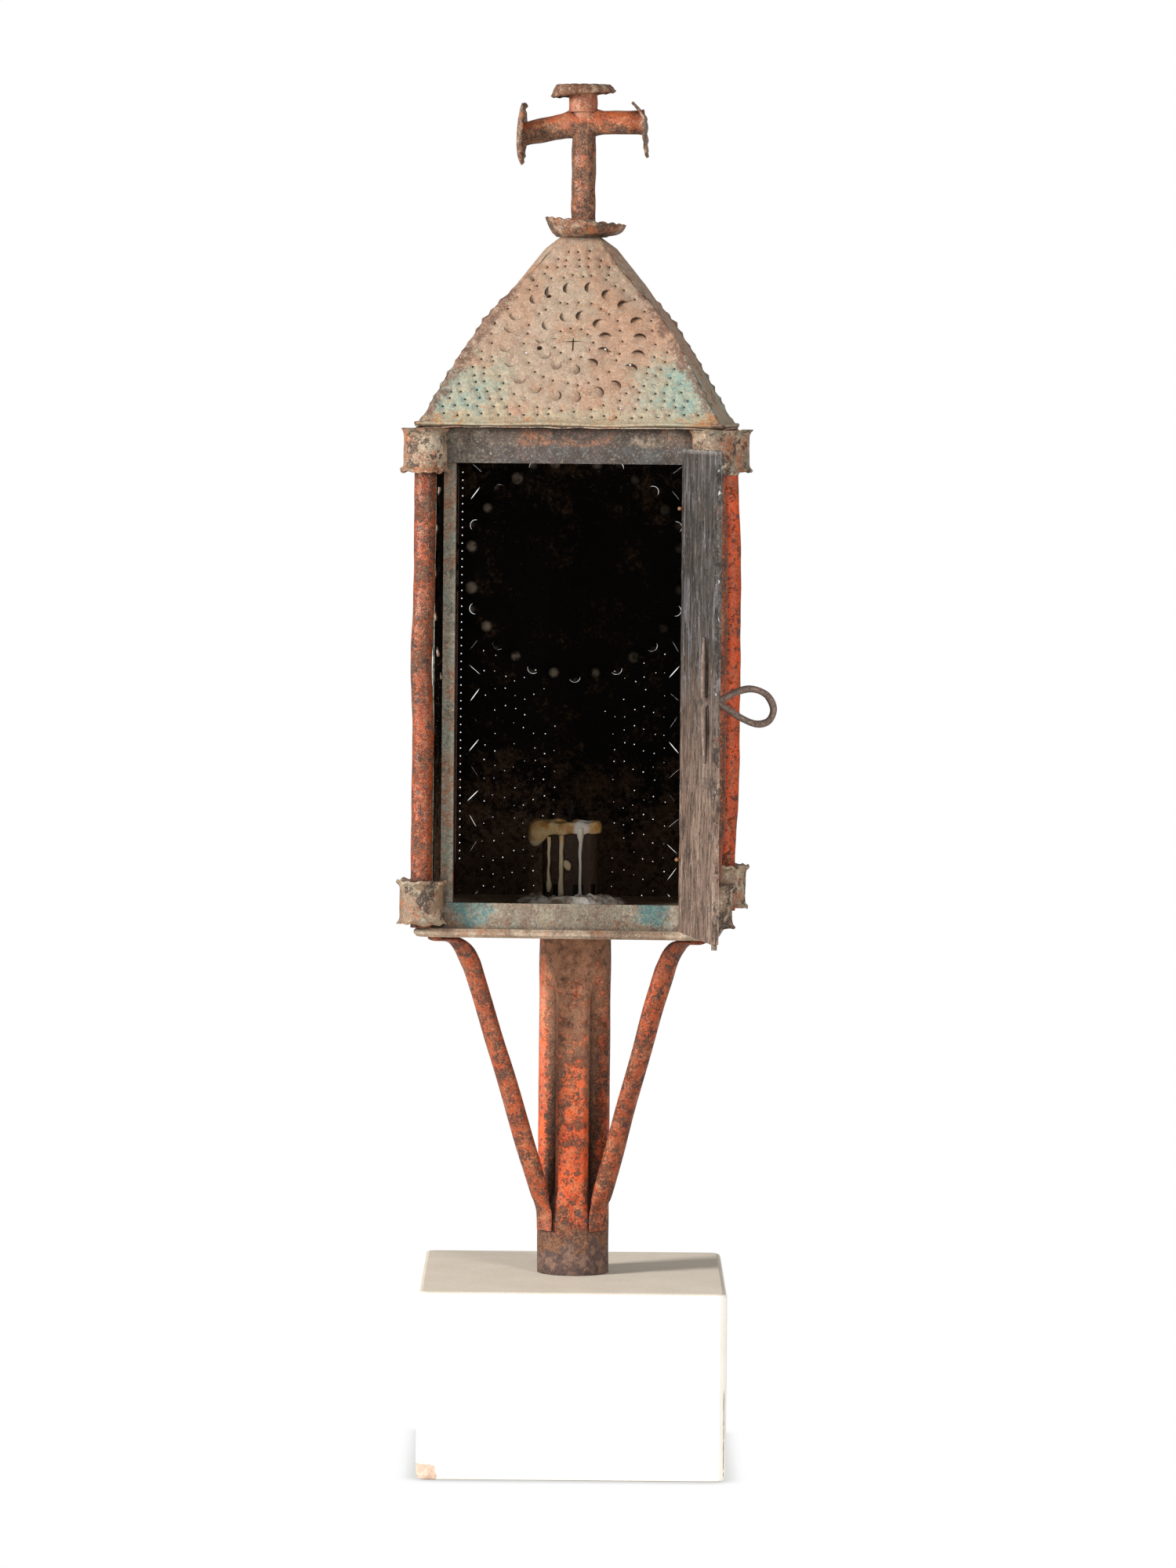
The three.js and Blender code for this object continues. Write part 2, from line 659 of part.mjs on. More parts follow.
// Collars: flared cups that close round the post at one end, cut away inside the walls
function collar(x, y, isTop) {
  const direction = isTop ? -1 : 1;
  const open = isTop ? WALL_TOP : BEAD_TOP + BASE_COLLAR_CLEARANCE;
  const closed = open + direction * COLLAR_HEIGHT;
  const bore = POST_RADIUS + GAP;
  const waistInside = COLLAR_WAIST - TIN;
  const profile = [
    [COLLAR_RIM, open],
    [COLLAR_WAIST, open + direction * COLLAR_FLARE],
    [COLLAR_WAIST, closed - direction * COLLAR_FLARE],
    [COLLAR_RIM, closed],
    [bore, closed],
    [bore, closed - direction * TIN],
    [waistInside, closed - direction * TIN],
    [waistInside, open + direction * COLLAR_FLARE],
    [COLLAR_RIM - TIN, open],
  ];
  const whole = revolve(profile, 12).translate(x, y, 0);
  const sideFace = WALL_OUTER + GAP;
  const endFace = (y < 0 ? FRAME_FACE : WALL_OUTER) + GAP;
  const reach = POST_OFFSET - COLLAR_RIM - OVERRUN;
  const spanX = x < 0 ? [-sideFace, -reach] : [reach, sideFace];
  const spanY = y < 0 ? [-endFace, -reach] : [reach, endFace];
  const heights = [Math.min(open, closed) - OVERRUN, Math.max(open, closed) + OVERRUN];
  return cut(whole, [slab(spanX, spanY, heights)]);
}

// Pierced walls, drawn flat: x across, y up from the wall's foot
function wallPiercings() {
  const holes = [];
  const ringX = WALL_RING_SHIFT;
  const ringY = CHAMBER_HEIGHT - WALL_RING_DROP;
  holes.push(...ringOf(12, WALL_RING_RADIUS,
    (x, y, angle) => crescentPoints(ringX + x, ringY + y, angle), FULL_TURN / 24));
  const edge = WALL_HALF - WALL_EDGE_INSET;
  const slashes = 5;
  const slashPitch = (CHAMBER_HEIGHT - 2 * FAN_PITCH) / slashes;
  for (let i = 0; i < slashes; i++) {
    const height = FAN_PITCH + slashPitch * (i + 0.5);
    const angle = (i % 2 ? 1 : -1) * FULL_TURN / 8;
    holes.push(slashPoints(-edge, height, angle), slashPoints(edge, height, -angle));
  }
  const fanRows = 4;
  const dotsInRow = 3;
  const [rowStepShare, rowLeanShare] = [2.6, 0.12];
  for (let row = 0; row < fanRows; row++) {
    const height = FAN_PITCH * (1 + rowStepShare * row);
    for (let i = 0; i < dotsInRow; i++) {
      const x = edge - FAN_PITCH * (i + 1 + rowLeanShare * row);
      holes.push(dotPoints(-x, height), dotPoints(x, height));
    }
  }
  return holes;
}

function wallSheet(half) {
  const height = WALL_TOP - WALL_BOTTOM;
  const sheet = outline([[-half, 0], [half, 0], [half, height], [-half, height]]);
  for (const points of wallPiercings()) {
    sheet.holes.push(new THREE.Path(points.map(([x, y]) => new THREE.Vector2(x, y))));
  }
  return uprightPlate(sheet, -TIN / 2, TIN).translate(0, 0, WALL_BOTTOM);
}

function backWall() {
  return wallSheet(RAIL_HALF).translate(0, WALL_HALF, 0);
}

// The side walls run from the frame's back face to just short of the back wall's outer face.
function sideWall(side) {
  const front = -FRAME_FACE + FRAME_TIN + GAP;
  const back = WALL_OUTER;
  const sheet = wallSheet((back - front) / 2).rotateZ(-side * FULL_TURN / 4);
  return sheet.translate(side * WALL_HALF, (front + back) / 2, 0);
}

function cornicePlate() {
  const shape = roundedSquare(CORNICE_HALF, CORNICE_CORNER);
  shape.holes.push(roundedSquare(CORNICE_OPENING_HALF, CORNICE_CORNER));
  return plate(shape, CORNICE_BOTTOM, TIN, 2);
}

// Roof: half its width at a share of its height, a little fuller than a plain pyramid
function roofHalfAt(share) {
  const straight = ROOF_EAVE_HALF + (NECK_RADIUS - ROOF_EAVE_HALF) * share;
  const hem = Math.max(0, 1 - share * ROOF_HEIGHT / ROOF_HEM_HEIGHT) * ROOF_HEM;
  return straight + 4 * ROOF_BELLY * share * (1 - share) + hem;
}

// A point on the front panel, from -1 to 1 across and 0 to 1 up, square below and round at the neck.
function roofPoint(across, share, inset) {
  const half = roofHalfAt(share) - inset;
  const squareShare = 0.55;
  const round = THREE.MathUtils.smoothstep(share, squareShare, 1);
  const angle = across * FULL_TURN / 8;
  const x = THREE.MathUtils.lerp(half * across, half * Math.sin(angle), round);
  const y = THREE.MathUtils.lerp(half, half * Math.cos(angle), round);
  const limit = y - GAP * Math.SQRT1_2;
  return new THREE.Vector3(THREE.MathUtils.clamp(x, -limit, limit), -y, ROOF_BOTTOM + share * ROOF_HEIGHT);
}

const ROOF_SLOPE = Math.atan2(ROOF_HEIGHT, ROOF_EAVE_HALF - NECK_RADIUS);

function plainRoofPanel() {
  const columnShares = [-1, -0.35, 0.35, 1];
  const rowShares = [0, ROOF_HEM_HEIGHT / ROOF_HEIGHT, 0.31, 0.62, 0.8, 1];
  const inset = TIN / Math.sin(ROOF_SLOPE);
  const rings = rowShares.map((share) => [
    ...columnShares.map((across) => roofPoint(across, share, 0)),
    ...columnShares.map((across) => roofPoint(-across, share, inset)),
  ]);
  return loft(rings);
}

// Turns a flat piercing outline into a punch that stands square to the roof's slope.
function roofPunch(points) {
  const count = points.length;
  const middle = points.reduce((sum, [x, y]) => [sum[0] + x / count, sum[1] + y / count], [0, 0]);
  const share = (ROOF_MOTIF_HEIGHT + middle[1] * Math.sin(ROOF_SLOPE)) / ROOF_HEIGHT;
  const centred = outline(points.map(([x, y]) => [x - middle[0], y - middle[1]]));
  const punch = new THREE.ExtrudeGeometry(centred, { depth: 2 * OVERRUN, bevelEnabled: false });
  punch.translate(0, 0, -OVERRUN).rotateX(ROOF_SLOPE);
  return punch.translate(middle[0], -roofHalfAt(share), ROOF_BOTTOM + share * ROOF_HEIGHT);
}

function roofPiercings() {
  const swirled = (x, y, angle) => crescentPoints(x, y, angle + FULL_TURN / 4);
  const holes = [
    ...ringOf(7, ROOF_INNER_RING, swirled, FULL_TURN / 4),
    ...ringOf(14, ROOF_OUTER_RING, swirled),
  ];
  const arm = ROOF_CROSS_LENGTH / 2;
  const half = ROOF_CROSS_WIDTH / 2;
  holes.push([
    [arm, -half], [arm, half], [half, half], [half, arm], [-half, arm], [-half, half],
    [-arm, half], [-arm, -half], [-half, -half], [-half, -arm], [half, -arm], [half, -half],
  ]);
  const cornerDotShares = [[1.28, -0.72], [1.6, -1.05], [1.2, -1.05]];
  for (const [xShare, yShare] of cornerDotShares) {
    for (const side of [-1, 1]) {
      holes.push(dotPoints(side * xShare * ROOF_OUTER_RING, yShare * ROOF_OUTER_RING));
    }
  }
  return holes;
}

function roofPanel() {
  return cut(plainRoofPanel(), roofPiercings().map(roofPunch));
}

function neckRing() {
  return tubeWall(NECK_RADIUS, TIN * 2, ROOF_TOP + GAP, ROOF_TOP + GAP + NECK_RING_HEIGHT, 18);
}

function scallopedDish() {
  const seat = NECK_RADIUS - TIN;
  const middleRiseShare = 0.35;
  const profile = [
    [seat, DISH_BOTTOM],
    [(seat + DISH_RADIUS) / 2, DISH_BOTTOM + DISH_RISE * middleRiseShare],
    [DISH_RADIUS, DISH_BOTTOM + DISH_RISE],
  ];
  return scallopedDisc(profile, 12, TIN, DISH_TILT);
}

// Cross
function crossStem() {
  return tubeWall(STEM_RADIUS, TIN, STEM_BOTTOM, STEM_BOTTOM + STEM_LENGTH, 14);
}

function crossSleeve() {
  const bottom = ARM_Z + ARM_RADIUS + GAP;
  const bore = STEM_RADIUS + GAP;
  return tubeWall(bore + SLEEVE_WALL, SLEEVE_WALL, bottom, STEM_BOTTOM + STEM_LENGTH - GAP, 14);
}

// An arm is a tube along X whose inner end is saddled to the stem.
function crossArm(side, reach, droop) {
  const tube = tubeWall(ARM_RADIUS, TIN, 0, reach, 12);
  tube.rotateY(side * FULL_TURN / 4).rotateY(side * droop).translate(0, 0, ARM_Z);
  const saddle = loft([
    circle(STEM_RADIUS + GAP, ARM_Z - 3 * ARM_RADIUS, 18),
    circle(STEM_RADIUS + GAP, ARM_Z + 3 * ARM_RADIUS, 18),
  ]);
  return cut(tube, [saddle]);
}

// A rosette lies across the end of a tube, its rim curled back over it.
function rosette() {
  const [bendShare, sagShare] = [0.8, 0.2];
  const profile = [
    [ARM_RADIUS, 0],
    [ROSETTE_RADIUS * bendShare, -ROSETTE_CURL * sagShare],
    [ROSETTE_RADIUS, -ROSETTE_CURL],
  ];
  return scallopedDisc(profile, 12, TIN);
}

// A side rosette may be bent over, so that only its upper edge touches the arm.
function sideRosette(side, reach, droop, tilt) {
  const away = reach + GAP + ARM_RADIUS * Math.sin(tilt);
  const disc = rosette().rotateY(-tilt).translate(0, 0, away);
  return disc.rotateY(side * FULL_TURN / 4).rotateY(side * droop).translate(0, 0, ARM_Z);
}

// Door pieces, drawn shut with the hinge axis as origin in X and Y
const BOARD_EDGE = -HINGE_EDGE_SETBACK;
const BOARD_OUTER = HINGE_AXIS_PROUD;
const BOARD_INNER = HINGE_AXIS_PROUD + DOOR_THICKNESS;
const PULL_X = BOARD_EDGE - DOOR_WIDTH + PULL_FROM_FREE_EDGE;
const EYE_LEG_X = BOARD_EDGE - EYE_LEG_INSET;

function roundHole(x, z, radius) {
  const hole = new THREE.Path();
  hole.absarc(x, z, radius, 0, FULL_TURN);
  return hole;
}

function doorBoard() {
  const free = BOARD_EDGE - DOOR_WIDTH;
  const board = outline([
    [BOARD_EDGE, DOOR_BOTTOM], [BOARD_EDGE, DOOR_TOP],
    [free, DOOR_TOP], [free, DOOR_BOTTOM + DOOR_FREE_RISE],
  ]);
  const halfSlot = 2 * PULL_PRONG + GAP;
  const halfHeight = PULL_PRONG + GAP;
  const slot = [
    [PULL_X - halfSlot, PULL_Z - halfHeight], [PULL_X + halfSlot, PULL_Z - halfHeight],
    [PULL_X + halfSlot, PULL_Z + halfHeight], [PULL_X - halfSlot, PULL_Z + halfHeight],
  ];
  board.holes.push(new THREE.Path(slot.map(([x, z]) => new THREE.Vector2(x, z))));
  for (const z of [UPPER_HINGE_Z, LOWER_HINGE_Z]) {
    board.holes.push(roundHole(EYE_LEG_X, z, EYE_WIRE + GAP));
  }
  const geometry = new THREE.ExtrudeGeometry(board, {
    depth: DOOR_THICKNESS, bevelEnabled: false, curveSegments: 8,
  });
  return geometry.rotateX(FULL_TURN / 4).translate(0, BOARD_INNER, 0);
}

// The pull's teardrop loop stands square to the board, and its ends are clinched inside.
function doorPull() {
  const at = (out, z, x = 0) => new THREE.Vector3(PULL_X + x, BOARD_OUTER - out, PULL_Z + z);
  const root = PULL_WIRE + GAP;
  const loopSteps = 16;
  const loopPoints = [];
  for (let i = 0; i <= loopSteps; i++) {
    const angle = FULL_TURN * i / loopSteps;
    const out = PULL_LOOP_LENGTH * (1 - Math.cos(angle)) / 2;
    const rise = PULL_LOOP_HALF * Math.sin(angle) * Math.sin(angle / 2);
    loopPoints.push(at(
      root + out * Math.cos(PULL_DROOP) + rise * Math.sin(PULL_DROOP),
      rise * Math.cos(PULL_DROOP) - out * Math.sin(PULL_DROOP),
    ));
  }
  const loop = sweep(loopPoints, 6, () => PULL_WIRE);
  const behind = -DOOR_THICKNESS - GAP - PULL_PRONG;
  const prong = (side, length) => {
    const x = side * PULL_PRONG;
    const path = bentWire([at(root, 0, x), at(behind, 0, x), at(behind, side * length, x)], PULL_PRONG);
    const taper = (share) => PULL_PRONG + (PULL_TIP - PULL_PRONG) * share ** 2;
    return sweep(path, 6, taper);
  };
  return join([loop, prong(1, PULL_UPPER_PRONG), prong(-1, PULL_LOWER_PRONG)]);
}

function doorPin() {
  const x = BOARD_EDGE - DOOR_WIDTH + DOOR_PIN_INSET;
  const y = (BOARD_OUTER + BOARD_INNER) / 2;
  const slopeShare = 1 - DOOR_PIN_INSET / DOOR_WIDTH;
  const top = DOOR_BOTTOM + DOOR_FREE_RISE * slopeShare - GAP;
  const bottom = top - DOOR_PIN_LENGTH;
  return loft([circle(DOOR_PIN_RADIUS, bottom, 10, x, y), circle(DOOR_PIN_RADIUS, top, 10, x, y)]);
}

// Hinge eye: a ring round the pintle, with a leg through the board that is clinched inside
const EYE_RING = PINTLE_RADIUS + EYE_PLAY + EYE_WIRE;

function hingeEye(height) {
  const section = [];
  const sides = 6;
  for (let i = 0; i < sides; i++) {
    const angle = FULL_TURN * i / sides;
    section.push([EYE_RING + EYE_WIRE * Math.cos(angle), height + EYE_WIRE * Math.sin(angle)]);
  }
  const ring = revolve(section, 12);
  const inside = BOARD_INNER + GAP + EYE_WIRE;
  const leg = bentWire([
    new THREE.Vector3(-EYE_RING, 0, height),
    new THREE.Vector3(EYE_LEG_X, 0, height),
    new THREE.Vector3(EYE_LEG_X, inside, height),
    new THREE.Vector3(EYE_LEG_X - CLINCH_LENGTH, inside + EYE_WIRE, height),
  ], EYE_WIRE);
  return join([ring, sweep(leg, 6, () => EYE_WIRE)]);
}

// Hinge pintle: an upright pin with a foot bent back to the jamb's face
function hingePintle(height) {
  const shoulder = height - EYE_WIRE - GAP - PINTLE_RADIUS;
  const face = -FRAME_FACE - GAP;
  const path = bentWire([
    new THREE.Vector3(HINGE_AXIS_X, HINGE_AXIS_Y, shoulder + PINTLE_LENGTH),
    new THREE.Vector3(HINGE_AXIS_X, HINGE_AXIS_Y, shoulder),
    new THREE.Vector3(HINGE_AXIS_X - PINTLE_FOOT_INSET, face, shoulder),
  ], PINTLE_RADIUS);
  return sweep(path, 8, () => PINTLE_RADIUS);
}

// Candle socket and what is left in it
function candleSocket() {
  const bottom = FLOOR_TOP + GAP;
  const tube = tubeWall(CANDLE_SOCKET_RADIUS, TIN, bottom, bottom + CANDLE_SOCKET_HEIGHT, 24);
  const reach = CANDLE_SOCKET_RADIUS + OVERRUN;
  const sill = bottom + WINDOW_SILL;
  const windows = [];
  for (let i = 0; i < 4; i++) {
    const window = slab([-WINDOW_WIDTH / 2, WINDOW_WIDTH / 2], [-reach, reach],
      [sill, sill + WINDOW_HEIGHT]);
    windows.push(window.rotateZ(FULL_TURN * (i + 0.5) / 8));
  }
  return cut(tube, windows).translate(CANDLE_X, 0, 0);
}

function candleStub() {
  const radius = CANDLE_SOCKET_RADIUS - TIN - CANDLE_CLEARANCE;
  const bottom = FLOOR_TOP + GAP;
  const top = bottom + CANDLE_SOCKET_HEIGHT + CANDLE_PROUD;
  return loft([
    circle(radius, bottom, 18, CANDLE_X),
    circle(radius, top - 2 * CANDLE_PROUD, 18, CANDLE_X),
    circle(radius - 2 * WAX_RIM_PROUD, top, 18, CANDLE_X),
  ]);
}

function candleWick() {
  const bottom = FLOOR_TOP + GAP + CANDLE_SOCKET_HEIGHT + CANDLE_PROUD + GAP;
  const bend = 2 * WICK_RADIUS;
  const curve = new THREE.CatmullRomCurve3([
    new THREE.Vector3(CANDLE_X, 0, bottom),
    new THREE.Vector3(CANDLE_X, 0, bottom + WICK_LENGTH / 2),
    new THREE.Vector3(CANDLE_X + bend, 0, bottom + WICK_LENGTH),
  ]);
  return sweep(curve.getPoints(5), 6, (share) => WICK_RADIUS * (1 - share / 3));
}

// Wax over the socket's rim, with a blob at the left and three runs down the front
function waxRim() {
  const socketTop = FLOOR_TOP + GAP + CANDLE_SOCKET_HEIGHT;
  const outside = CANDLE_SOCKET_RADIUS + GAP;
  const inside = CANDLE_SOCKET_RADIUS - TIN - CANDLE_CLEARANCE + GAP;
  const seat = socketTop + GAP;
  const segments = 18;
  const crestShare = 0.85;
  const columns = [];
  for (let i = 0; i < segments; i++) {
    const angle = FULL_TURN * i / segments;
    const blob = Math.max(0, Math.cos(angle - FULL_TURN / 2)) ** 4;
    const lump = WAX_RIM_PROUD * (1 + Math.sin(5 * angle) / 4);
    const edge = outside + lump + WAX_BLOB * blob;
    const hang = socketTop - WAX_RIM_DROP - WAX_BLOB_DROP * blob;
    const crest = socketTop + WAX_RIM_RISE * (crestShare + Math.sin(3 * angle) / 8);
    const profile = [
      [outside, hang], [edge - lump / 2, hang], [edge, (hang + seat) / 2], [edge - lump / 2, crest - lump],
      [(outside + inside) / 2, crest], [inside, crest - lump], [inside, seat], [outside, seat],
    ];
    columns.push(profile.map(([radius, height]) => new THREE.Vector3(
      CANDLE_X + radius * Math.cos(angle), radius * Math.sin(angle), height)));
  }
  const rim = loft(columns, true);
  const runAt = (angle, length) => {
    const out = outside + WAX_RUN_RADIUS;
    const x = CANDLE_X + out * Math.cos(angle);
    const y = out * Math.sin(angle);
    const line = new THREE.LineCurve3(
      new THREE.Vector3(x, y, socketTop - WAX_RIM_DROP + WAX_RUN_RADIUS),
      new THREE.Vector3(x, y, socketTop - WAX_RIM_DROP - length));
    const knots = 3;
    const radiusAt = (share) => WAX_RUN_RADIUS * (1 - Math.sin(knots * Math.PI * share) / 5);
    return sweep(line.getPoints(4), 5, radiusAt);
  };
  const fullRun = CANDLE_SOCKET_HEIGHT - WAX_RIM_DROP - WAX_POOL_HEIGHT - GAP;
  const lengthShares = [0.8, 1, 1];
  return join([rim, ...lengthShares.map((share, i) => runAt(WAX_RUN_ANGLES[i], fullRun * share))]);
}

// Wax that ran out over the floor, round the socket's foot
function waxPool() {
  const inside = CANDLE_SOCKET_RADIUS + GAP;
  const bottom = FLOOR_TOP + GAP;
  const segments = 18;
  const [reachShare, middleShare] = [0.75, 0.8];
  const columns = [];
  for (let i = 0; i < segments; i++) {
    const angle = FULL_TURN * i / segments;
    const lobes = Math.sin(3 * angle + 1) / 8 + Math.sin(5 * angle) / 8;
    const reach = inside + WAX_POOL_REACH * (reachShare + lobes);
    const profile = [
      [inside, bottom], [reach, bottom], [reach - TIN, bottom + WAX_POOL_HEIGHT / 3],
      [(inside + reach) / 2, bottom + WAX_POOL_HEIGHT * middleShare], [inside, bottom + WAX_POOL_HEIGHT],
    ];
    columns.push(profile.map(([radius, height]) => new THREE.Vector3(
      CANDLE_X + radius * Math.cos(angle), radius * Math.sin(angle), height)));
  }
  return loft(columns, true);
}

// Assembly
const whole = new THREE.Group();
const stand = new THREE.Group();
const lantern = new THREE.Group();
const door = new THREE.Group();
door.position.set(HINGE_AXIS_X, HINGE_AXIS_Y, 0);
door.rotation.z = DOOR_REST_ANGLE;
lantern.add(door);
whole.add(stand, lantern);

function addPiece(group, name, geometry, finish) {
  const mesh = new THREE.Mesh(geometry, new THREE.MeshStandardMaterial(finish));
  mesh.name = name;
  group.add(mesh);
}

addPiece(stand, 'display_block', displayBlock(), WHITE_PAINT);
addPiece(stand, 'stub_pole', stubPole(), BARE_WOOD);

addPiece(lantern, 'pole_socket', poleSocket(), RED_PAINT);
addPiece(lantern, 'brace_left', brace(-1), RED_PAINT);
addPiece(lantern, 'brace_right', brace(1), RED_PAINT);
addPiece(lantern, 'floor_tray', floorTray(), RUSTY_TIN);
addPiece(lantern, 'bottom_rail', bottomRail(), RUSTY_TIN);
addPiece(lantern, 'top_rail', topRail(), DARK_TIN);
addPiece(lantern, 'jamb_left', jamb(-1), RUSTY_TIN);
addPiece(lantern, 'jamb_right', jamb(1), RUSTY_TIN);

for (const [endName, ySide] of [['front', -1], ['back', 1]]) {
  for (const [sideName, xSide] of [['left', -1], ['right', 1]]) {
    const corner = `${endName}_${sideName}`;
    const place = [xSide * POST_OFFSET, ySide * POST_OFFSET];
    addPiece(lantern, `post_${corner}`, cornerPost(...place, corner === 'front_left'), RED_PAINT);
    addPiece(lantern, `base_collar_${corner}`, collar(...place, false), RUSTY_TIN);
    addPiece(lantern, `top_collar_${corner}`, collar(...place, true), RUSTY_TIN);
  }
}

addPiece(lantern, 'wall_back', backWall(), SOOTY_TIN);
addPiece(lantern, 'wall_left', sideWall(-1), SOOTY_TIN);
addPiece(lantern, 'wall_right', sideWall(1), SOOTY_TIN);
addPiece(lantern, 'cornice_plate', cornicePlate(), RUSTY_TIN);
['front', 'right', 'back', 'left'].forEach((sideName, i) => {
  addPiece(lantern, `roof_panel_${sideName}`, roofPanel().rotateZ(i * FULL_TURN / 4), ROOF_TIN);
});
addPiece(lantern, 'neck_ring', neckRing(), RUSTY_TIN);
addPiece(lantern, 'scalloped_dish', scallopedDish(), DARK_TIN);
addPiece(lantern, 'cross_stem', crossStem(), RED_PAINT);
addPiece(lantern, 'cross_sleeve', crossSleeve(), RED_PAINT);
addPiece(lantern, 'cross_arm_left', crossArm(-1, ARM_LEFT_REACH, ARM_DROOP), RED_PAINT);
addPiece(lantern, 'cross_arm_right', crossArm(1, ARM_RIGHT_REACH, 0), RED_PAINT);
addPiece(lantern, 'rosette_top', rosette().translate(0, 0, STEM_BOTTOM + STEM_LENGTH + GAP), DARK_TIN);
addPiece(lantern, 'rosette_left', sideRosette(-1, ARM_LEFT_REACH, ARM_DROOP, 0), DARK_TIN);
addPiece(lantern, 'rosette_right', sideRosette(1, ARM_RIGHT_REACH, 0, ROSETTE_RIGHT_TILT), DARK_TIN);

addPiece(lantern, 'candle_socket', candleSocket(), SOOTY_TIN);
addPiece(lantern, 'candle_stub', candleStub(), WAX);
addPiece(lantern, 'candle_wick', candleWick(), CHARRED);
addPiece(lantern, 'wax_rim', waxRim(), WAX);
addPiece(lantern, 'wax_pool', waxPool(), WAX);
addPiece(lantern, 'hinge_pintle_upper', hingePintle(UPPER_HINGE_Z), RUSTY_WIRE);
addPiece(lantern, 'hinge_pintle_lower', hingePintle(LOWER_HINGE_Z), RUSTY_WIRE);

addPiece(door, 'door_board', doorBoard(), GREY_WOOD);
addPiece(door, 'door_pull', doorPull(), RUSTY_WIRE);
addPiece(door, 'door_pin', doorPin(), RUSTY_WIRE);
addPiece(door, 'hinge_eye_upper', hingeEye(UPPER_HINGE_Z), RUSTY_WIRE);
addPiece(door, 'hinge_eye_lower', hingeEye(LOWER_HINGE_Z), RUSTY_WIRE);

export default whole;
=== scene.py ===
import math
import random

import bpy
from mathutils import Euler, Matrix, Vector, noise
from mathutils.geometry import delaunay_2d_cdt


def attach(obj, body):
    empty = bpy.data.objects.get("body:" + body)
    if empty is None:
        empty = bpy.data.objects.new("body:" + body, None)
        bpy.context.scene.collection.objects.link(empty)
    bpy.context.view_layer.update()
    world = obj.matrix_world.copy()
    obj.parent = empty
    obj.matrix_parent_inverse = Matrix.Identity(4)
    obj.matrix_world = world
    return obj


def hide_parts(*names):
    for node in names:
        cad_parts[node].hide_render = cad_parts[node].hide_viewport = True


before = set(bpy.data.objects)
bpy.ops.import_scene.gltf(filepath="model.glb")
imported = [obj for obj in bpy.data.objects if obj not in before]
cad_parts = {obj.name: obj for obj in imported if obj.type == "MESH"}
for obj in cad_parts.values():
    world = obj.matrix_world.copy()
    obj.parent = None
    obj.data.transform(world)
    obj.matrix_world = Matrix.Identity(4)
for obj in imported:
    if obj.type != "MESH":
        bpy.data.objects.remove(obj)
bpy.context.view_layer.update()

MM = 0.001
FULL_TURN = 2 * math.pi

# Without a seed the waves of roof and braces would come out otherwise each run
WAVE_SEED = 1
noise.seed_set(WAVE_SEED)

# Camera: the lantern's axis stands a little left of the picture's middle
PICTURE_WIDTH_PX = 1500
CAMERA_DISTANCE = 4.418
CAMERA_HEIGHT = 0.673
CAMERA_AZIMUTH = math.radians(4)
CAMERA_ROLL = math.radians(0.5)
CAMERA_LENS_PX = 8836
HORIZON_ABOVE_MIDDLE_PX = 490
AXIS_LEFT_OF_MIDDLE_PX = 10
SENSOR_WIDTH = 36

# Light
KEY_PLACE, KEY_POWER = (-2.7, -1.9, 1.45), 180
FILL_PLACE, FILL_POWER = (2.0, -2.9, 1.15), 70
LIGHT_WIDTH, LIGHT_HEIGHT = 0.7, 1.2
LIGHT_TARGET = (0, 0, 0.45)
SKY_STRENGTH = 0.32
FLOOR_SHADE_REACH = 0.014
FLOOR_HALF = 6

# Sizes, as in the CAD part
TIN = 0.8 * MM
BLOCK_YAW = math.radians(4)
SOCKET_FOOT, SOCKET_TOP = 117.3 * MM, 350 * MM
SOCKET_REACH, SOCKET_TIN = 22.75 * MM, 1.2 * MM
FLUTE_FOOT, FLUTE_HEAD, FLUTE_RUN_OUT = 150.3 * MM, 316 * MM, 26 * MM
FLUTE_DEPTH, FLUTE_HALF = 8.0 * MM, math.radians(24)
WALL_INNER_HALF = 84.4 * MM
WALL_MIDDLE = 85.1 * MM
WALL_FOOT = 340.2 * MM
WALL_HEIGHT = 314.6 * MM
SIDE_WALL_FRONT, SIDE_WALL_BACK = -84.4 * MM, 85.5 * MM
POST_FOOT, POST_TOP = 342.1 * MM, 654.8 * MM
POST_OFFSET, POST_REACH = 90.5 * MM, 6.75 * MM
COLLAR_ENDS = {"base": (344.4 * MM, 371.3 * MM), "top": (654.6 * MM, 627.3 * MM)}
COLLAR_BORE, COLLAR_WAIST, COLLAR_RIM, COLLAR_TIN = 7.1 * MM, 13.0 * MM, 15.0 * MM, 0.6 * MM
CORNICE_OPENING_HALF, CORNICE_HALF = 79 * MM, 97 * MM
CORNICE_HEIGHT, CORNICE_TIN = 655.9 * MM, 0.7 * MM
ROOF_FOOT = 656.2 * MM
ROOF_HEIGHT = 121 * MM
ROOF_EAVE_HALF = 94 * MM
ROOF_NECK_HALF = 16.5 * MM
ROOF_BELLY = 5.5 * MM
ROOF_HEM = 2.5 * MM
ROOF_HEM_HEIGHT = 5 * MM
ROOF_MOTIF_HEIGHT = 53 * MM
DISH_FOOT = 777.4 * MM
RUFFLE_TIN = 1.2 * MM
CROSS_X_MM = 1.0
LEFT_TIP_MM = (-39.2, 0, 841.9)
RIGHT_TIP_MM = (39.2, 0, 850.0)
HINGE = Vector((79 * MM, -95.5 * MM, 0))
DOOR_OPEN = math.radians(101)
DOOR_WIDTH = 149 * MM
DOOR_HINGE_SIDE, DOOR_FREE_SIDE = -4.6 * MM, -153.6 * MM
DOOR_OUTER, DOOR_INNER = 4.4 * MM, 9.4 * MM
DOOR_FOOT, DOOR_TOP, DOOR_FOOT_SLOPE = 342.5 * MM, 643.2 * MM, 3.5 * MM
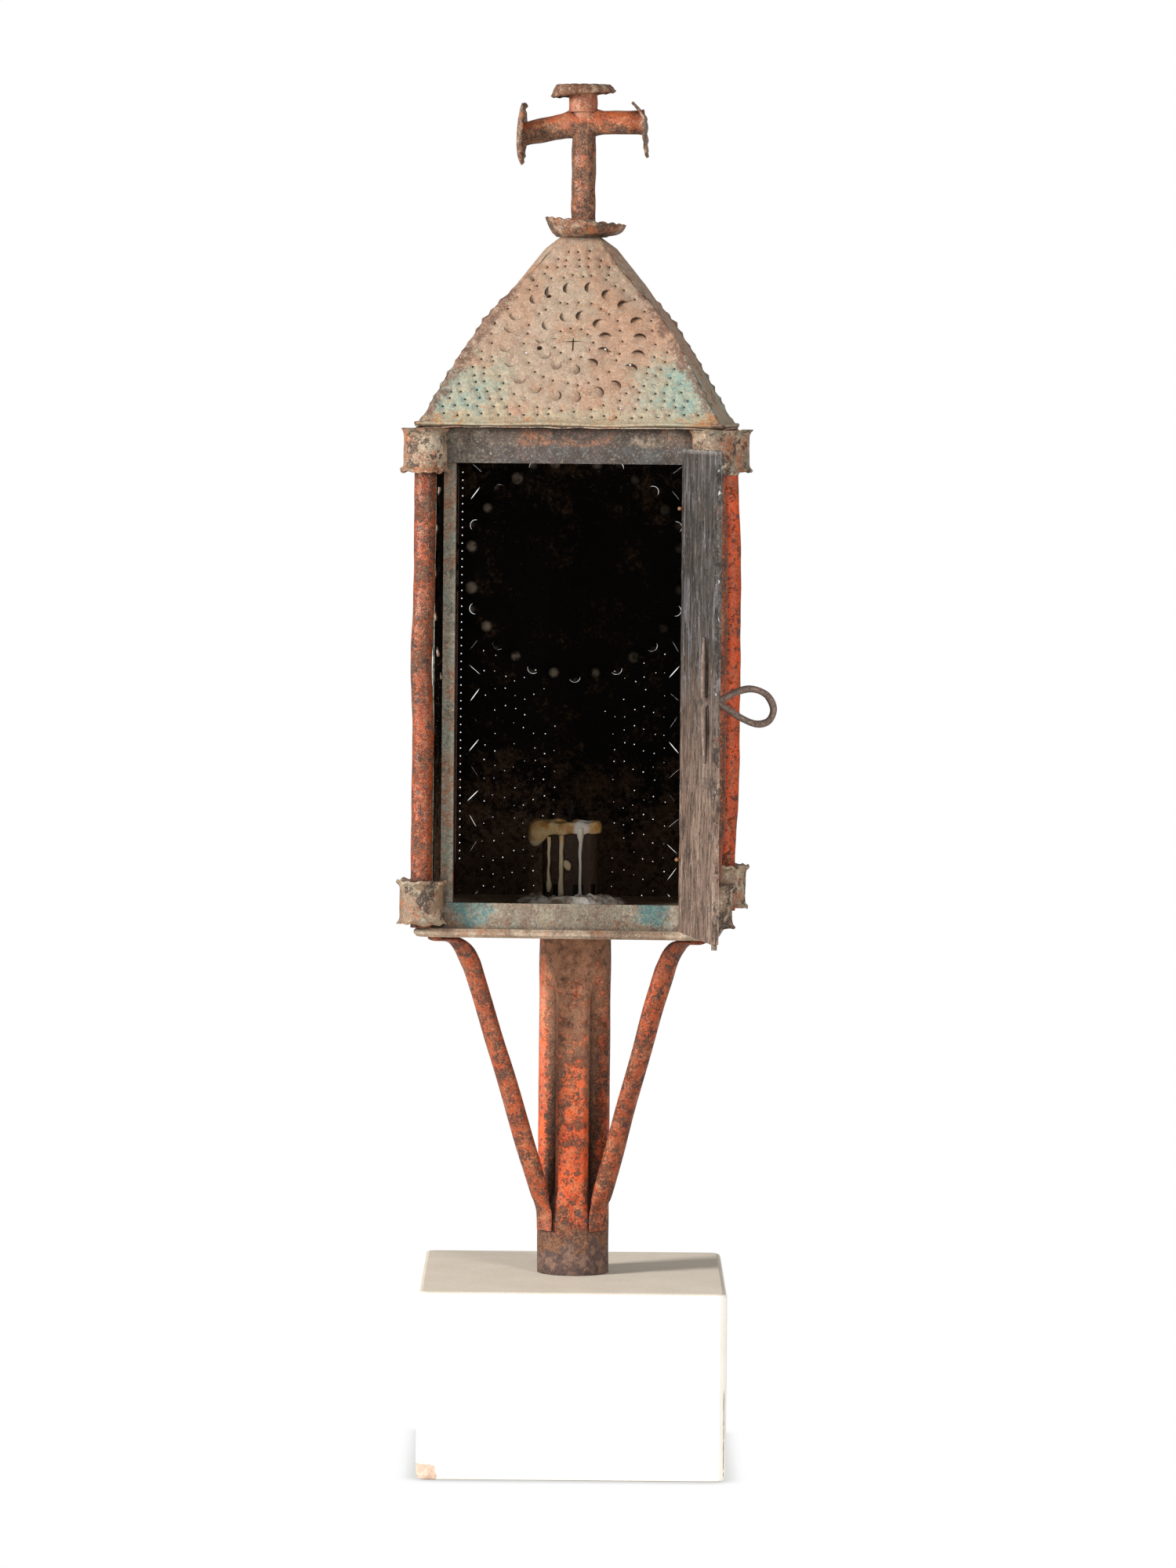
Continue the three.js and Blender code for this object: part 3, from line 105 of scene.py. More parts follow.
PULL_AT_MM = (-129.6, 4.4, 491)
CANDLE_X = -4 * MM
CANDLE_SOCKET_TOP, CANDLE_SOCKET_REACH = 399.4 * MM, 17.8 * MM
CHAMBER_FLOOR = 351.5 * MM

SIDES = ("front", "right", "back", "left")
CORNERS = {"front_left": (-1, -1), "front_right": (1, -1), "back_left": (-1, 1), "back_right": (1, 1)}


# Finishes: node trees written as arithmetic


def tone(code):
    """The linear colour of a web colour."""
    channels = [int(code[i : i + 2], 16) / 255 for i in (1, 3, 5)]
    return tuple(c / 12.92 if c <= 0.04045 else ((c + 0.055) / 1.055) ** 2.4 for c in channels)


def operation(name):
    return lambda self, *others: self.nodes.math(name, self, *others)


class Field:
    """A value, colour or vector in a node tree."""

    __add__ = __radd__ = operation("ADD")
    __sub__ = operation("SUBTRACT")
    __mul__ = __rmul__ = operation("MULTIPLY")
    __truediv__ = operation("DIVIDE")
    __pow__ = operation("POWER")
    __abs__ = operation("ABSOLUTE")
    both = operation("MINIMUM")
    either = operation("MAXIMUM")

    def __init__(self, nodes, socket):
        self.nodes = nodes
        self.socket = socket

    def __rsub__(self, other):
        return self.nodes.math("SUBTRACT", other, self)

    def also(self, output):
        """Another output of the node that this comes from."""
        return Field(self.nodes, self.socket.node.outputs[output])

    def rise(self, low, high):
        """A smooth step from 0 at low to 1 at high."""
        limits = {"Value": self, "From Min": low, "From Max": high}
        return self.nodes.add("MapRange", {"interpolation_type": "SMOOTHSTEP"}, limits)

    def near(self, middle, reach, soft):
        """1 within reach of middle, falling to 0 over soft."""
        return 1 - abs(self - middle).rise(reach, reach + soft)


class Nodes:
    """The node tree of a material or world. A colour is written as a web colour."""

    def __init__(self, owner):
        owner.use_nodes = True
        self.tree = owner.node_tree
        self.tree.nodes.clear()

    def plug(self, socket, value):
        if isinstance(value, str):
            value = (*tone(value), 1)
        if isinstance(value, Field):
            self.tree.links.new(value.socket, socket)
        else:
            socket.default_value = value

    def add(self, kind, settings=None, inputs=None, output=0):
        node = self.tree.nodes.new("ShaderNode" + kind)
        for name, value in (settings or {}).items():
            setattr(node, name, value)
        for name, value in (inputs or {}).items():
            self.plug(node.inputs[name], value)
        return Field(self, node.outputs[output]) if node.outputs else None

    def math(self, name, *values):
        return self.add("Math", {"operation": name}, dict(enumerate(values)))

    def vector(self, name, *values, output=0):
        return self.add("VectorMath", {"operation": name}, dict(enumerate(values)), output)

    def mix(self, share, under, over):
        return self.add("Mix", {"data_type": "RGBA"}, {0: share, 6: under, 7: over}, 2)

    def between(self, share, tones):
        """From the first to the second of two tones."""
        return self.mix(share, *tones.split())

    def open_sky(self, reach, samples):
        """1 in the open, and less in creases and under other things."""
        return self.add("AmbientOcclusion", {"samples": samples}, {"Distance": reach}, "AO")

    def seen_and_lit(self, seen, lit, output):
        """Camera rays meet one shader and all other rays another."""
        is_seen = self.add("LightPath", output="Is Camera Ray")
        self.add(output, None, {"Surface": self.add("MixShader", None, {0: is_seen, 1: lit, 2: seen})})


class Finish(Nodes):
    """A material; its patterns are moved by shift, so that no two finishes have the same blotches."""

    def __init__(self, name, shift=0.0):
        self.material = bpy.data.materials.new(name)
        super().__init__(self.material)
        self.shift = shift
        self.place = self.add("TexCoord", output="Object")
        self.x, self.y, self.z = (
            self.add("SeparateXYZ", inputs={"Vector": self.place}, output=axis) for axis in range(3)
        )

    def stretched(self, scale, shift):
        away = self.shift + shift
        return self.vector("MULTIPLY", self.vector("ADD", self.place, (away, 1.7 * away, -away)), scale)

    def cloud(self, size, detail=5, roughness=0.6, stretch=(1, 1, 1), shift=0.0, twist=0.0):
        """Fractal noise from 0 to 1 with features of about this size."""
        place = self.stretched(stretch, shift)
        look = {"Scale": 1 / size, "Detail": detail, "Roughness": roughness, "Distortion": twist}
        return self.add("TexNoise", None, {"Vector": place, **look})

    def spots(self, size, reach, shift=0.0):
        """Ragged round spots of chance width, one to a cell of this size."""
        place = self.stretched((1, 1, 1), shift)
        drift = self.add("TexNoise", None, {"Vector": place, "Scale": 2 / size}, "Color")
        centred = self.vector("SUBTRACT", drift, (0.5, 0.5, 0.5))
        warped = self.vector("MULTIPLY_ADD", centred, (size * 0.7, size * 0.7, size * 0.7), place)
        cell = self.add("TexVoronoi", None, {"Vector": warped, "Scale": 1 / size})
        chance = self.add("SeparateColor", None, {"Color": cell.also("Color")})
        return 1 - (cell.also("Distance") - chance**2 * reach).rise(-0.05, 0.05)

    def coat(self, under, tones, size, low, high, strength, where=0.0, shift=0.0, fine=0.36):
        """Lays rust, paint or dirt over what is under it in blotches of about this size.

        It starts where noise passes low and covers from high on. where adds to the noise, and fine is
        the share of small blotches. It gives the new colour, and how much of it is this coat.
        """
        blotch = self.cloud(size, 7, 0.72, shift=shift) * (1 - fine)
        blotch = blotch + self.cloud(size / 6, 5, 0.7, shift=shift + 0.31) * fine
        share = (blotch + where).rise(low, high) * strength
        grain = self.cloud(size / 7, 4, 0.7, shift=shift + 0.53).rise(0.42, 0.58)
        return self.mix(share, under, self.between(grain, tones)), share

    def coats(self, colour, *layers):
        """Lays one coat after another, and gives the colour and the last one's share."""
        for layer in layers:
            colour, share = self.coat(colour, *layer)
        return colour, share

    def grime_and_crease_shade(self, colour, grime_and_shade_tone="#2b1f19", reach=0.007, strength=0.8):
        """Darkens the creases and dents: grime, and painted shade where little light gets in."""
        return self.mix((1 - self.open_sky(reach, 6)).rise(0.08, 0.75) * strength, colour, grime_and_shade_tone)

    def gritty(self, colour, dark, pale, amount):
        """Fine dark and pale grit over everything."""
        fine = self.cloud(0.0013, 4, 0.75, shift=0.7)
        colour = self.mix((1 - fine.rise(0.36, 0.5)) * amount, colour, dark)
        return self.mix(fine.rise(0.54, 0.66) * amount, colour, pale)

    def done(self, colour, roughness, height, depth, shine=0.5, **others):
        """The material, with a relief of this height field times depth in metres."""
        inputs = {"Base Color": colour, "Roughness": roughness, "Specular IOR Level": shine}
        inputs["Normal"] = self.add("Bump", None, {"Height": height, "Distance": depth})
        inputs.update({name.replace("_", " "): value for name, value in others.items()})
        shader = self.add("BsdfPrincipled", None, inputs)
        self.add("OutputMaterial", None, {"Surface": shader})
        return self.material


def socket_rust_and_flute_shade(f):
    """More rust at the foot, under the tray, down the upper front and in the flutes, where it also paints the
    flutes' shade; less at the left and low in front.
    """
    foot = (1 - f.z.rise(0.13, 0.165)) * 0.12
    head = f.z.rise(0.295, 0.335) * 0.1
    front = f.x.near(0.0, 0.009, 0.006)
    # More rust in the flutes: rust, and painted shade in the grooves.
    flute_rust_and_shade = (1 - (f.x**2 + f.y**2).rise(0.00026, 0.00042)) * 0.08
    worn = f.z.rise(0.21, 0.29) * front * 0.05 + flute_rust_and_shade
    fresh = (1 - f.x.rise(-0.0195, -0.017)) * 0.07 + (1 - f.z.rise(0.19, 0.24)) * front * 0.03
    return foot + head + worn - fresh * (1 - foot * 8).either(0.0)


def socket_stains_and_painted_light(f, colour):
    """A dark foot, and a paler tan towards the tray: dust, and painted light that lifts the shade under the
    tray.
    """
    foot = (1 - (f.z + (f.cloud(0.01, 5) - 0.5) * 0.05).rise(0.13, 0.137)) * 0.85
    colour = f.mix(foot, colour, f.between(f.cloud(0.005, 5).rise(0.45, 0.6), "#4a3a38 #7d6152"))
    # Paler towards the tray: dust, and painted light over the tray's shade.
    dust_and_painted_lighting = f.z.rise(0.2, 0.33) * f.cloud(0.006, 5, 0.7).rise(0.3, 0.6) * 0.65
    return f.mix(dust_and_painted_lighting, colour, "#cf9674")


def cross_rust_and_arm_shading(f):
    """The stem has rusted most. The undersides of the arms get more rust, which also paints their shade, and
    the arms' tops less, a painted highlight.
    """
    stem = f.x.near(0.001, 0.007, 0.002) * (1 - f.z.rise(0.845, 0.855)) * 0.045
    # More rust under the arms: rust, and painted shade.
    under = f.z.rise(0.832, 0.836) * (1 - f.z.rise(0.842, 0.85)) * 0.05
    # Less rust on the arms' tops: a painted highlight.
    return stem.either(under) - f.z.rise(0.846, 0.852) * 0.06


def painted_tin(
    name, shift, fresh, faded, rust,
    rust_low=0.5, speckle=0.8, rough=0.42, size=0.0085, wear_and_shading=None, stains_and_lighting=None,
):
    """Worn paint: faded patches, crusty rust, and round dark specks; the wear function says where there is
    more rust, which on the socket and the cross also paints shade and highlight.
    """
    f = Finish(name, shift)
    where = wear_and_shading(f) if wear_and_shading else 0.0
    colour = f.between(f.cloud(0.03).rise(0.42, 0.58), fresh)
    colour, crust = f.coats(
        colour,
        (faded, 0.018, 0.48, 0.6, 0.75, where * 0.3, 1),
        (rust, size, rust_low, rust_low + 0.06, 0.9, where, 2),
    )
    colour, _ = f.coats(
        colour,
        ("#4a352a #3a2a24", size * 0.8, rust_low + 0.015, rust_low + 0.06, 0.85, where, 5),
        ("#a87650 #8c5a3c", 0.003, 0.54, 0.6, 0.45, where, 3),
    )
    specks = f.spots(0.0055, 0.42).either(f.spots(0.0026, 0.42, 1))
    colour = f.gritty(f.mix(specks * speckle, colour, "#453634"), "#3a2821", "#c88f68", 0.4)
    # Stains, and on the socket painted light towards the tray.
    if stains_and_lighting:
        colour = stains_and_lighting(f, colour)
    height = crust * 0.2 + f.cloud(0.0011, 5, 0.7) * (0.5 + 0.6 * crust) - specks * 0.3
    height = height + f.cloud(0.006, 4) * 0.7
    # The creases and dents are darkened: painted shade, with some grime.
    return f.done(f.grime_and_crease_shade(colour), rough + 0.25 * crust + 0.1 * specks, height, 0.7 * MM, 0.4)


def rusty_tin(name, shift, base, pale, orange, green, dark, rough=0.42, dust=0.6):
    """Bare tin gone tan, orange, brown and grey-green in patches, with pale worn spots."""
    f = Finish(name, shift)
    colour, crust = f.coats(
        base,
        (pale + " #a3907b", 0.024, 0.46, 0.54, 0.85, 0, 0, 0.2),
        ("#6d776a #858b78", 0.018, 0.52, 0.6, green, 0, 1, 0.2),
        ("#a95f2c #8a4a2a", 0.016, 0.5, 0.58, orange, 0, 2, 0.2),
        ("#4d3a2d #392c25", 0.014, 0.515, 0.56, dark, 0, 3, 0.25),
    )
    colour, _ = f.coat(colour, "#dccfba #bfae98", 0.004, 0.57, 0.63, dust, 0, 4)
    # The creases and dents are darkened: painted shade, with some grime.
    colour = f.gritty(f.grime_and_crease_shade(colour), "#33271f", "#cbb9a2", 0.35)
    height = crust * 0.3 + f.cloud(0.0012, 5, 0.7) * dust + f.cloud(0.008, 4) * 1.4
    return f.done(colour, rough + 0.3 * crust, height, 0.8 * MM, 0.55)


def rail_tin():
    """The lower rail: wrinkled grey-tan paint with two blue-green patches left."""
    f = Finish("rail_tin")
    low = 1 - f.z.rise(0.3585, 0.3595)
    drift = (f.cloud(0.02, 5, shift=6) - 0.5) * 0.03
    left = (f.x + drift).near(-0.06, 0.006, 0.014)
    right = (f.x - drift).near(0.054, 0.004, 0.012)
    patches = left.either(right).both(low) * (f.z + drift * 0.2).rise(0.340, 0.347)
    colour, chips = f.coats(
        "#857868",
        ("#98988a #a3947e", 0.016, 0.46, 0.54, 0.85),
        ("#86604a #6f503f", 0.009, 0.51, 0.57, 0.75, 0, 1),
        ("#3a717c #52857f", 0.01, 0.56, 0.7, 0.85, patches * 0.17, 2),
        ("#6b8078 #7d8c7e", 0.01, 0.56, 0.68, 0.6, low * 0.02, 3),
        ("#6f5a55 #5f4a40", 0.008, 0.53, 0.6, 0.6, 0, 7),
        ("#b98a50 #a8764a", 0.006, 0.58, 0.64, 0.7, (1 - f.z.rise(0.342, 0.352)) * 0.05, 8),
        ("#cfc4b2 #bdb09c", 0.0026, 0.57, 0.63, 0.55, 0, 5),
    )
    # The creases and dents are darkened: painted shade, with some grime.
    colour = f.grime_and_crease_shade(f.gritty(colour, "#4a3c30", "#bfb29f", 0.35), "#33261e")
    height = f.cloud(0.0022, 5, 0.7, twist=1.2) * 1.6 + chips * 0.3 + f.cloud(0.007, 4)
    return f.done(colour, 0.48, height, 0.8 * MM, 0.45)


def jamb_tin():
    """Grey-green jambs with rust along their edges."""
    f = Finish("jamb_tin")
    colour, chips = f.coats(
        "#756b5c",
        ("#5f685f #707568", 0.018, 0.47, 0.54, 0.85),
        ("#8a5535 #6b4733", 0.01, 0.51, 0.57, 0.85, 0, 1),
        ("#3f362f #4d4036", 0.007, 0.52, 0.56, 0.75, 0, 2),
        ("#47757b #5d8582", 0.007, 0.57, 0.61, 0.75, 0, 3),
        ("#cbbfac #a8997f", 0.0026, 0.57, 0.62, 0.6, 0, 4),
    )
    # The creases and dents are darkened: painted shade, with some grime.
    colour = f.grime_and_crease_shade(f.gritty(colour, "#2e2620", "#b8aa94", 0.4))
    return f.done(colour, 0.6, f.cloud(0.0013, 5, 0.7) + chips * 0.4, 0.45 * MM, 0.4)


def top_rail_tin():
    """The upper rail: rusty above, with a sooty band below and pale chips at the left."""
    f = Finish("top_rail_tin")
    left = 1 - f.x.rise(-0.052, -0.025)
    middle = f.x.near(-0.006, 0.018, 0.02)
    colour, _ = f.coats(
        "#52443a",
        ("#978a78 #75644f", 0.02, 0.51, 0.6, 0.75, left * 0.06, 0, 0.2),
        ("#a0603c #7f5138", 0.014, 0.52, 0.62, 0.85, middle * 0.07 - left * 0.1, 1),
    )
    wave = f.cloud(0.02, 4, shift=2) * 0.01
    band = (1 - (f.z - wave).rise(0.6375, 0.6405)) * (1 - left * 0.5) * 0.85
    colour, chips = f.coats(
        f.mix(band, colour, f.between(f.cloud(0.006).rise(0.4, 0.6), "#2b2e31 #45484a")),
        ("#2b211b #3d2f26", 0.016, 0.48, 0.55, 0.9, 0, 3, 0.2),
        ("#9fb0a2 #87a29a", 0.006, 0.6, 0.66, 0.75, left * 0.03, 4),
        ("#c9beac #ab9e8a", 0.0026, 0.58, 0.63, 0.6, left * 0.04, 5),
    )
    # The creases and dents are darkened: painted shade, with some grime.
    colour = f.grime_and_crease_shade(f.gritty(colour, "#2a211b", "#b8a48c", 0.4))
    return f.done(colour, 0.5, f.cloud(0.0013, 5, 0.7) + chips * 0.4, 0.6 * MM, 0.5)


def roof_tin():
    """Pinkish tan, with blue-green paint left at the lower corners and brown along the ribs."""
    f = Finish("pierced_roof_tin")
    share = (f.z - ROOF_FOOT) / ROOF_HEIGHT
    half = ROOF_EAVE_HALF * (1 - share) + ROOF_NECK_HALF * share
    across = abs(f.x).both(abs(f.y)) / half
    corner = (1 - share.rise(0.2, 0.5)) * across.rise(0.25, 0.75)
    hem = 1 - share.rise(0.02, 0.14)
    hem_rust = hem * (0.06 + 0.07 * across.rise(0.8, 1))
    colour, crust = f.coats(
        f.between(f.cloud(0.04, 4).rise(0.42, 0.58), "#a3836c #a08c78"),
        ("#9c6a4b #a67c60", 0.024, 0.5, 0.62, 0.75, 0, 1),
        ("#8f8f7e #a2987f", 0.016, 0.56, 0.66, 0.85, corner * 0.2 + share.rise(0.6, 1) * 0.05, 2),
        ("#6c9089 #8b9c8c", 0.02, 0.64, 0.84, 0.9, corner * 0.26, 3),
        ("#ad9b7d #979681", 0.012, 0.56, 0.64, 0.8, hem * 0.17, 4),
        ("#b07a3c #9c5c30", 0.01, 0.58, 0.66, 0.8, hem_rust, 5),
        ("#6e4a3a #543c33", 0.01, 0.56, 0.66, 0.85, across.rise(0.88, 1) * 0.13, 6),
        ("#7a6054 #6b5348", 0.014, 0.53, 0.66, 0.6, share.rise(0.2, 0.8) * 0.02, 9),
        ("#6f5143 #835f4c", 0.004, 0.52, 0.6, 0.5, 0, 7),
    )
    colour, _ = f.coat(colour, "#d3c3b2 #bfae9c", 0.0024, 0.55, 0.64, 0.4, 0, 8)
    # The dents round the holes and the creases are darkened: painted shade, with some grime.
    colour = f.grime_and_crease_shade(f.gritty(colour, "#6b4d3c", "#d6c7b6", 0.35), "#3f2a20", 0.005, 0.9)
    height = crust * 0.2 + f.cloud(0.001, 5, 0.7) * 0.8 + f.cloud(0.007, 4) * 1.2
    return f.done(colour, 0.6, height, 0.6 * MM, 0.4)


def soot():
    """Velvety soot inside, brown near the roof and the floor, with a painted highlight on the back wall's
    domes, most at the left; rust and faded paint outside.
    """
    f = Finish("soot")
    ends = f.z.rise(0.57, 0.66) * 0.07 + (1 - f.z.rise(0.35, 0.48)) * 0.17
    colour, bare = f.coat("#0c0806", "#54402f #3d2c20", 0.018, 0.53, 0.66, 0.85, ends)
    colour, _ = f.coat(colour, "#7d6a5a #574536", 0.004, 0.6, 0.68, 0.6, ends, 1)
    # Paler raised domes on the back wall, most at the left: a painted highlight.
    painted_dome_highlight = (0.0850 - f.y).rise(0.0003, 0.0017) * f.y.rise(0.0795, 0.081)
    painted_dome_highlight = painted_dome_highlight * (1 - f.x.rise(-0.03, 0.05) * 0.8)
    colour = f.mix(painted_dome_highlight * f.cloud(0.006, 5).rise(0.3, 0.55) * 0.7, colour, "#b5a592")
    rusty, _ = f.coats(
        "#8a7563",
        ("#955c3c #74462f", 0.02, 0.46, 0.6, 0.85, 0, 2),
        ("#8fa193 #74877b", 0.012, 0.57, 0.65, 0.7, 0, 3),
        ("#4a382d #5d4535", 0.005, 0.56, 0.66, 0.7, 0, 4),
    )
    from_axis = f.vector("MULTIPLY", f.place, (1, 1, 0))
    facing = f.add("TexCoord", output="Normal")
    outside = f.vector("DOT_PRODUCT", facing, from_axis, output="Value").rise(-0.01, 0.01)
    raw = (1 - f.y.rise(-0.0838, -0.0832)) * f.x.near(-0.084, 0.004, 0.001)
    raw_tin = f.between(f.cloud(0.004).rise(0.4, 0.6), "#a3ad9c #5f5a4d")
    colour = f.mix(raw * 0.9, f.mix(outside, colour, rusty), raw_tin)
    return f.done(colour, 0.6, f.cloud(0.002, 5) + bare, 0.2 * MM, outside * 0.3 + 0.06)


def socket_soot():
    """The candle socket: brown sooty tin with dried wax dust."""
    f = Finish("socket_soot")
    colour, crust = f.coat("#3a2c22", "#5b4838 #463629", 0.01, 0.48, 0.6, 0.8)
    colour, _ = f.coat(colour, "#8d7a66 #6d5a48", 0.003, 0.58, 0.68, 0.6, 0, 1)
    return f.done(colour, 0.6, crust + f.cloud(0.0015, 4), 0.3 * MM, 0.4)


def wax():
    """Old candle wax: amber and dirty round the rim, pale where it ran last, lumpy white on the floor."""
    f = Finish("candle_wax")
    aside = f.x - CANDLE_X
    above = f.z.rise(0.3905, 0.3935)
    low = 1 - f.z.rise(0.3575, 0.361)
    amber = f.between(f.cloud(0.009, 5).rise(0.42, 0.6), "#d8bf8e #b98a4d")
    colour = f.mix(above, f.between(aside.rise(0.004, 0.009), "#d9cba9 #f1f1ec"), amber)
    colour = f.mix(aside.near(0.0085, 0.003, 0.003) * above * 0.9, colour, "#f3efe4")
    grey = f.between(f.cloud(0.008, 6, 0.65, shift=2).rise(0.42, 0.58), "#efeae1 #8f7f70")
    colour, _ = f.coat(f.mix(low * 0.9, colour, grey), "#6d5744 #8a7056", 0.004, 0.6, 0.7, 0.6, 0, 3)
    relief = f.cloud(0.003, 4)
    return f.done(colour, 0.38, relief, 0.5 * MM, Subsurface_Weight=0.3, Subsurface_Scale=0.004)


def stub_wax():
    """The candle stub, near black below the socket's rim: painted shade inside the socket."""
    f = Finish("stub_wax")
    colour = f.between(f.z.rise(0.385, 0.395), "#120c08 #b98a4d")
    return f.done(colour, 0.5, f.cloud(0.003, 4), 0.3 * MM, 0.2)


def board_wood():
    """The door's board: sooty grey with pale scuffs above, brown, cracked and worn below."""
    f = Finish("board_wood")
    grain = f.cloud(0.003, 7, 0.78, stretch=(1, 1, 0.2), twist=0.6)
    streak = f.cloud(0.012, 7, 0.74, stretch=(1, 1, 0.3), shift=3, twist=0.5)
    low = 1 - (f.z + (streak - 0.5) * 0.2).rise(0.42, 0.55)
    sooty = f.between(grain.rise(0.42, 0.6), "#1e1a17 #4c4741")
    brown = f.between(grain.rise(0.42, 0.6), "#453228 #8a7060")
    pale = f.between(low, "#77757a #a08a7a")
    colour, pits = f.coats(
        f.mix(streak.rise(0.5, 0.62) * 0.8, f.mix(low * 0.9, sooty, brown), pale),
        ("#8a4f33 #6b4130", 0.008, 0.56, 0.64, 0.5, 0, 5),
        ("#1f1915 #2e2520", 0.014, 0.52, 0.58, 0.75, 0, 6),
    )
    colour = f.gritty(colour, "#1b1613", "#a89d93", 0.3)
    cracks = 1 - abs(f.cloud(0.008, 3, 0.5, stretch=(1, 1, 0.06), shift=8) - 0.47).rise(0.0, 0.007)
    colour = f.mix(cracks * (0.3 + 0.5 * low), colour, "#1c1411")
    flecks = f.cloud(0.0024, 4, 0.6, stretch=(1, 1, 0.35), shift=7).rise(0.66, 0.7)
    colour = f.mix(flecks * 0.8, colour, "#c4c1c2")
    # Paler along the top end: end grain, and a painted highlight on the top edge.
    end_grain_and_painted_highlight = f.between(grain.rise(0.4, 0.6), "#9d9792 #6f665f")
    colour = f.mix(f.z.rise(0.6395, 0.6425) * 0.7, colour, end_grain_and_painted_highlight)
    height = grain * 0.7 + streak * 0.8 - cracks * 1.2 - pits * 0.5
    return f.done(colour, 0.5 + 0.2 * low, height, 0.8 * MM, 0.4)


def peg_wood():
    f = Finish("peg_wood")
    grain = f.cloud(0.002, 6, 0.7, stretch=(1, 1, 0.05))
    return f.done(f.between(grain.rise(0.4, 0.6), "#8a6a45 #b3905f"), 0.8, grain, 0.3 * MM, 0.3)


def block_paint():
    """Chalky white paint, greyer on top, partly dust and partly painted shade, with a bare chip and dark
    cracks at the lower edges.
    """
    f = Finish("block_paint")
    across = f.x * math.cos(BLOCK_YAW) + f.y * math.sin(BLOCK_YAW)
    back = f.y * math.cos(BLOCK_YAW) - f.x * math.sin(BLOCK_YAW)
    ragged = f.cloud(0.006, 6, 0.65)
    white = f.between(f.cloud(0.05, 5).rise(0.35, 0.65), "#f7f5ee #f0ede3")
    # The greyer top: dust, and painted shade on the top face.
    dust_and_painted_lighting = f.between(f.cloud(0.03, 6).rise(0.3, 0.7), "#dad0c1 #d2c7b6")
    dust_and_painted_lighting = f.mix(f.cloud(0.0016, 5, 0.75).rise(0.45, 0.65) * 0.5, dust_and_painted_lighting, "#b8aa96")
    colour = f.mix(f.z.rise(0.1158, 0.1166) * 0.9, white, dust_and_painted_lighting)
    chip = (1 - across.rise(-0.088, -0.079)) * (1 - f.z.rise(0.006, 0.014)) + (ragged - 0.5) * 0.9
    chip = chip.rise(0.52, 0.56)
    colour = f.mix(chip, colour, f.between(ragged.rise(0.4, 0.6), "#d8bfae #bfa593"))
    edge = across.near(0.0955, 0.0006, 0.0012) * (1 - f.z.rise(0.05, 0.075))
    hair = across.near(-0.0945, 0.0002, 0.0008) * f.z.rise(0.018, 0.03) * (1 - f.z.rise(0.07, 0.09))
    crack = ((edge + hair * 0.8) * 0.6 + ragged * 0.7).rise(0.86, 0.92) * (1 - back.rise(-0.1062, -0.104))
    colour = f.mix(crack, colour, f.between(ragged.rise(0.45, 0.6), "#2c231c #7a5f4c"))
    return f.done(colour, 0.7, f.cloud(0.004, 6, 0.6) - chip * 2 - crack * 2, 0.15 * MM, 0.2)


def worn_wire(name, base, worn):
    """Iron wire with rubbed and rusted spots."""
    f = Finish(name)
    colour, crust = f.coat(base, worn, 0.005, 0.48, 0.58, 0.9)
    return f.done(colour, 0.5 + 0.2 * crust, crust + f.cloud(0.0012, 4), 0.25 * MM, Metallic=0.25)


def charred():
    f = Finish("wick_char")
    return f.done("#1a1512", 0.95, f.cloud(0.001, 4), 0.3 * MM)


# Shift, fresh, faded and rusty tones, where rust begins, specks, roughness, size of rust, wear with painted
# shading, stains with painted light
PAINTS = {
    "socket": (
        0.0, "#d4520f #b8430d", "#a85a34 #bd744a", "#64422f #543b2d", 0.495, 0.8, 0.42, 0.0085,
        socket_rust_and_flute_shade, socket_stains_and_painted_light,
    ),
    "brace": (1.3, "#a8481f #93401f", "#96583a #b07654", "#5f4030 #4d382b", 0.505, 0.6),
    "post": (2.7, "#95401c #7c3518", "#9c6542 #82543a", "#4f372b #6b4832", 0.5, 0.7, 0.24, 0.014),
    "back_post": (6.7, "#cf4a0c #b3400a", "#9c4a24 #884422", "#4d3427 #603e2a", 0.535, 0.8),
    "cross": (
        4.1, "#9c4c28 #925238", "#c09874 #a87c58", "#6b4c3c #7d5f48", 0.505, 0.25, 0.38, 0.01, cross_rust_and_arm_shading
    ),
}
# Shift, base and pale tone, strength of orange, green and dark patches, roughness, dust
TINS = {
    "collar": (0.7, "#7d6650", "#bda88e", 0.7, 0.5, 1.0, 0.42, 0.7),
    "tray": (1.7, "#917a66", "#b9a590", 0.5, 0.1, 0.4, 0.3, 0.3),
    "cornice": (2.7, "#75624f", "#a8937a", 0.6, 0.4, 0.9),
    "neck": (3.7, "#8a7665", "#a89684", 0.5, 0.8, 0.3),
    "ruffle": (5.3, "#64402c", "#8d5f42", 0.7, 0.05, 0.9, 0.4, 0.3),
}
finishes = {
    **{key: painted_tin(key + "_paint", *values) for key, values in PAINTS.items()},
    **{key: rusty_tin(key + "_tin", *values) for key, values in TINS.items()},
    "rail": rail_tin(),
    "top_rail": top_rail_tin(),
    "jamb": jamb_tin(),
    "roof": roof_tin(),
    "soot": soot(),
    "candle_socket": socket_soot(),
    "wax": wax(),
    "stub": stub_wax(),
    "board": board_wood(),
    "peg": peg_wood(),
    "block": block_paint(),
    "wire": worn_wire("wire_iron", "#7a665c", "#96877c #5b463b"),
    "copper": worn_wire("hinge_wire", "#b07a58", "#c99471 #7d4f38"),
    "char": charred(),
}

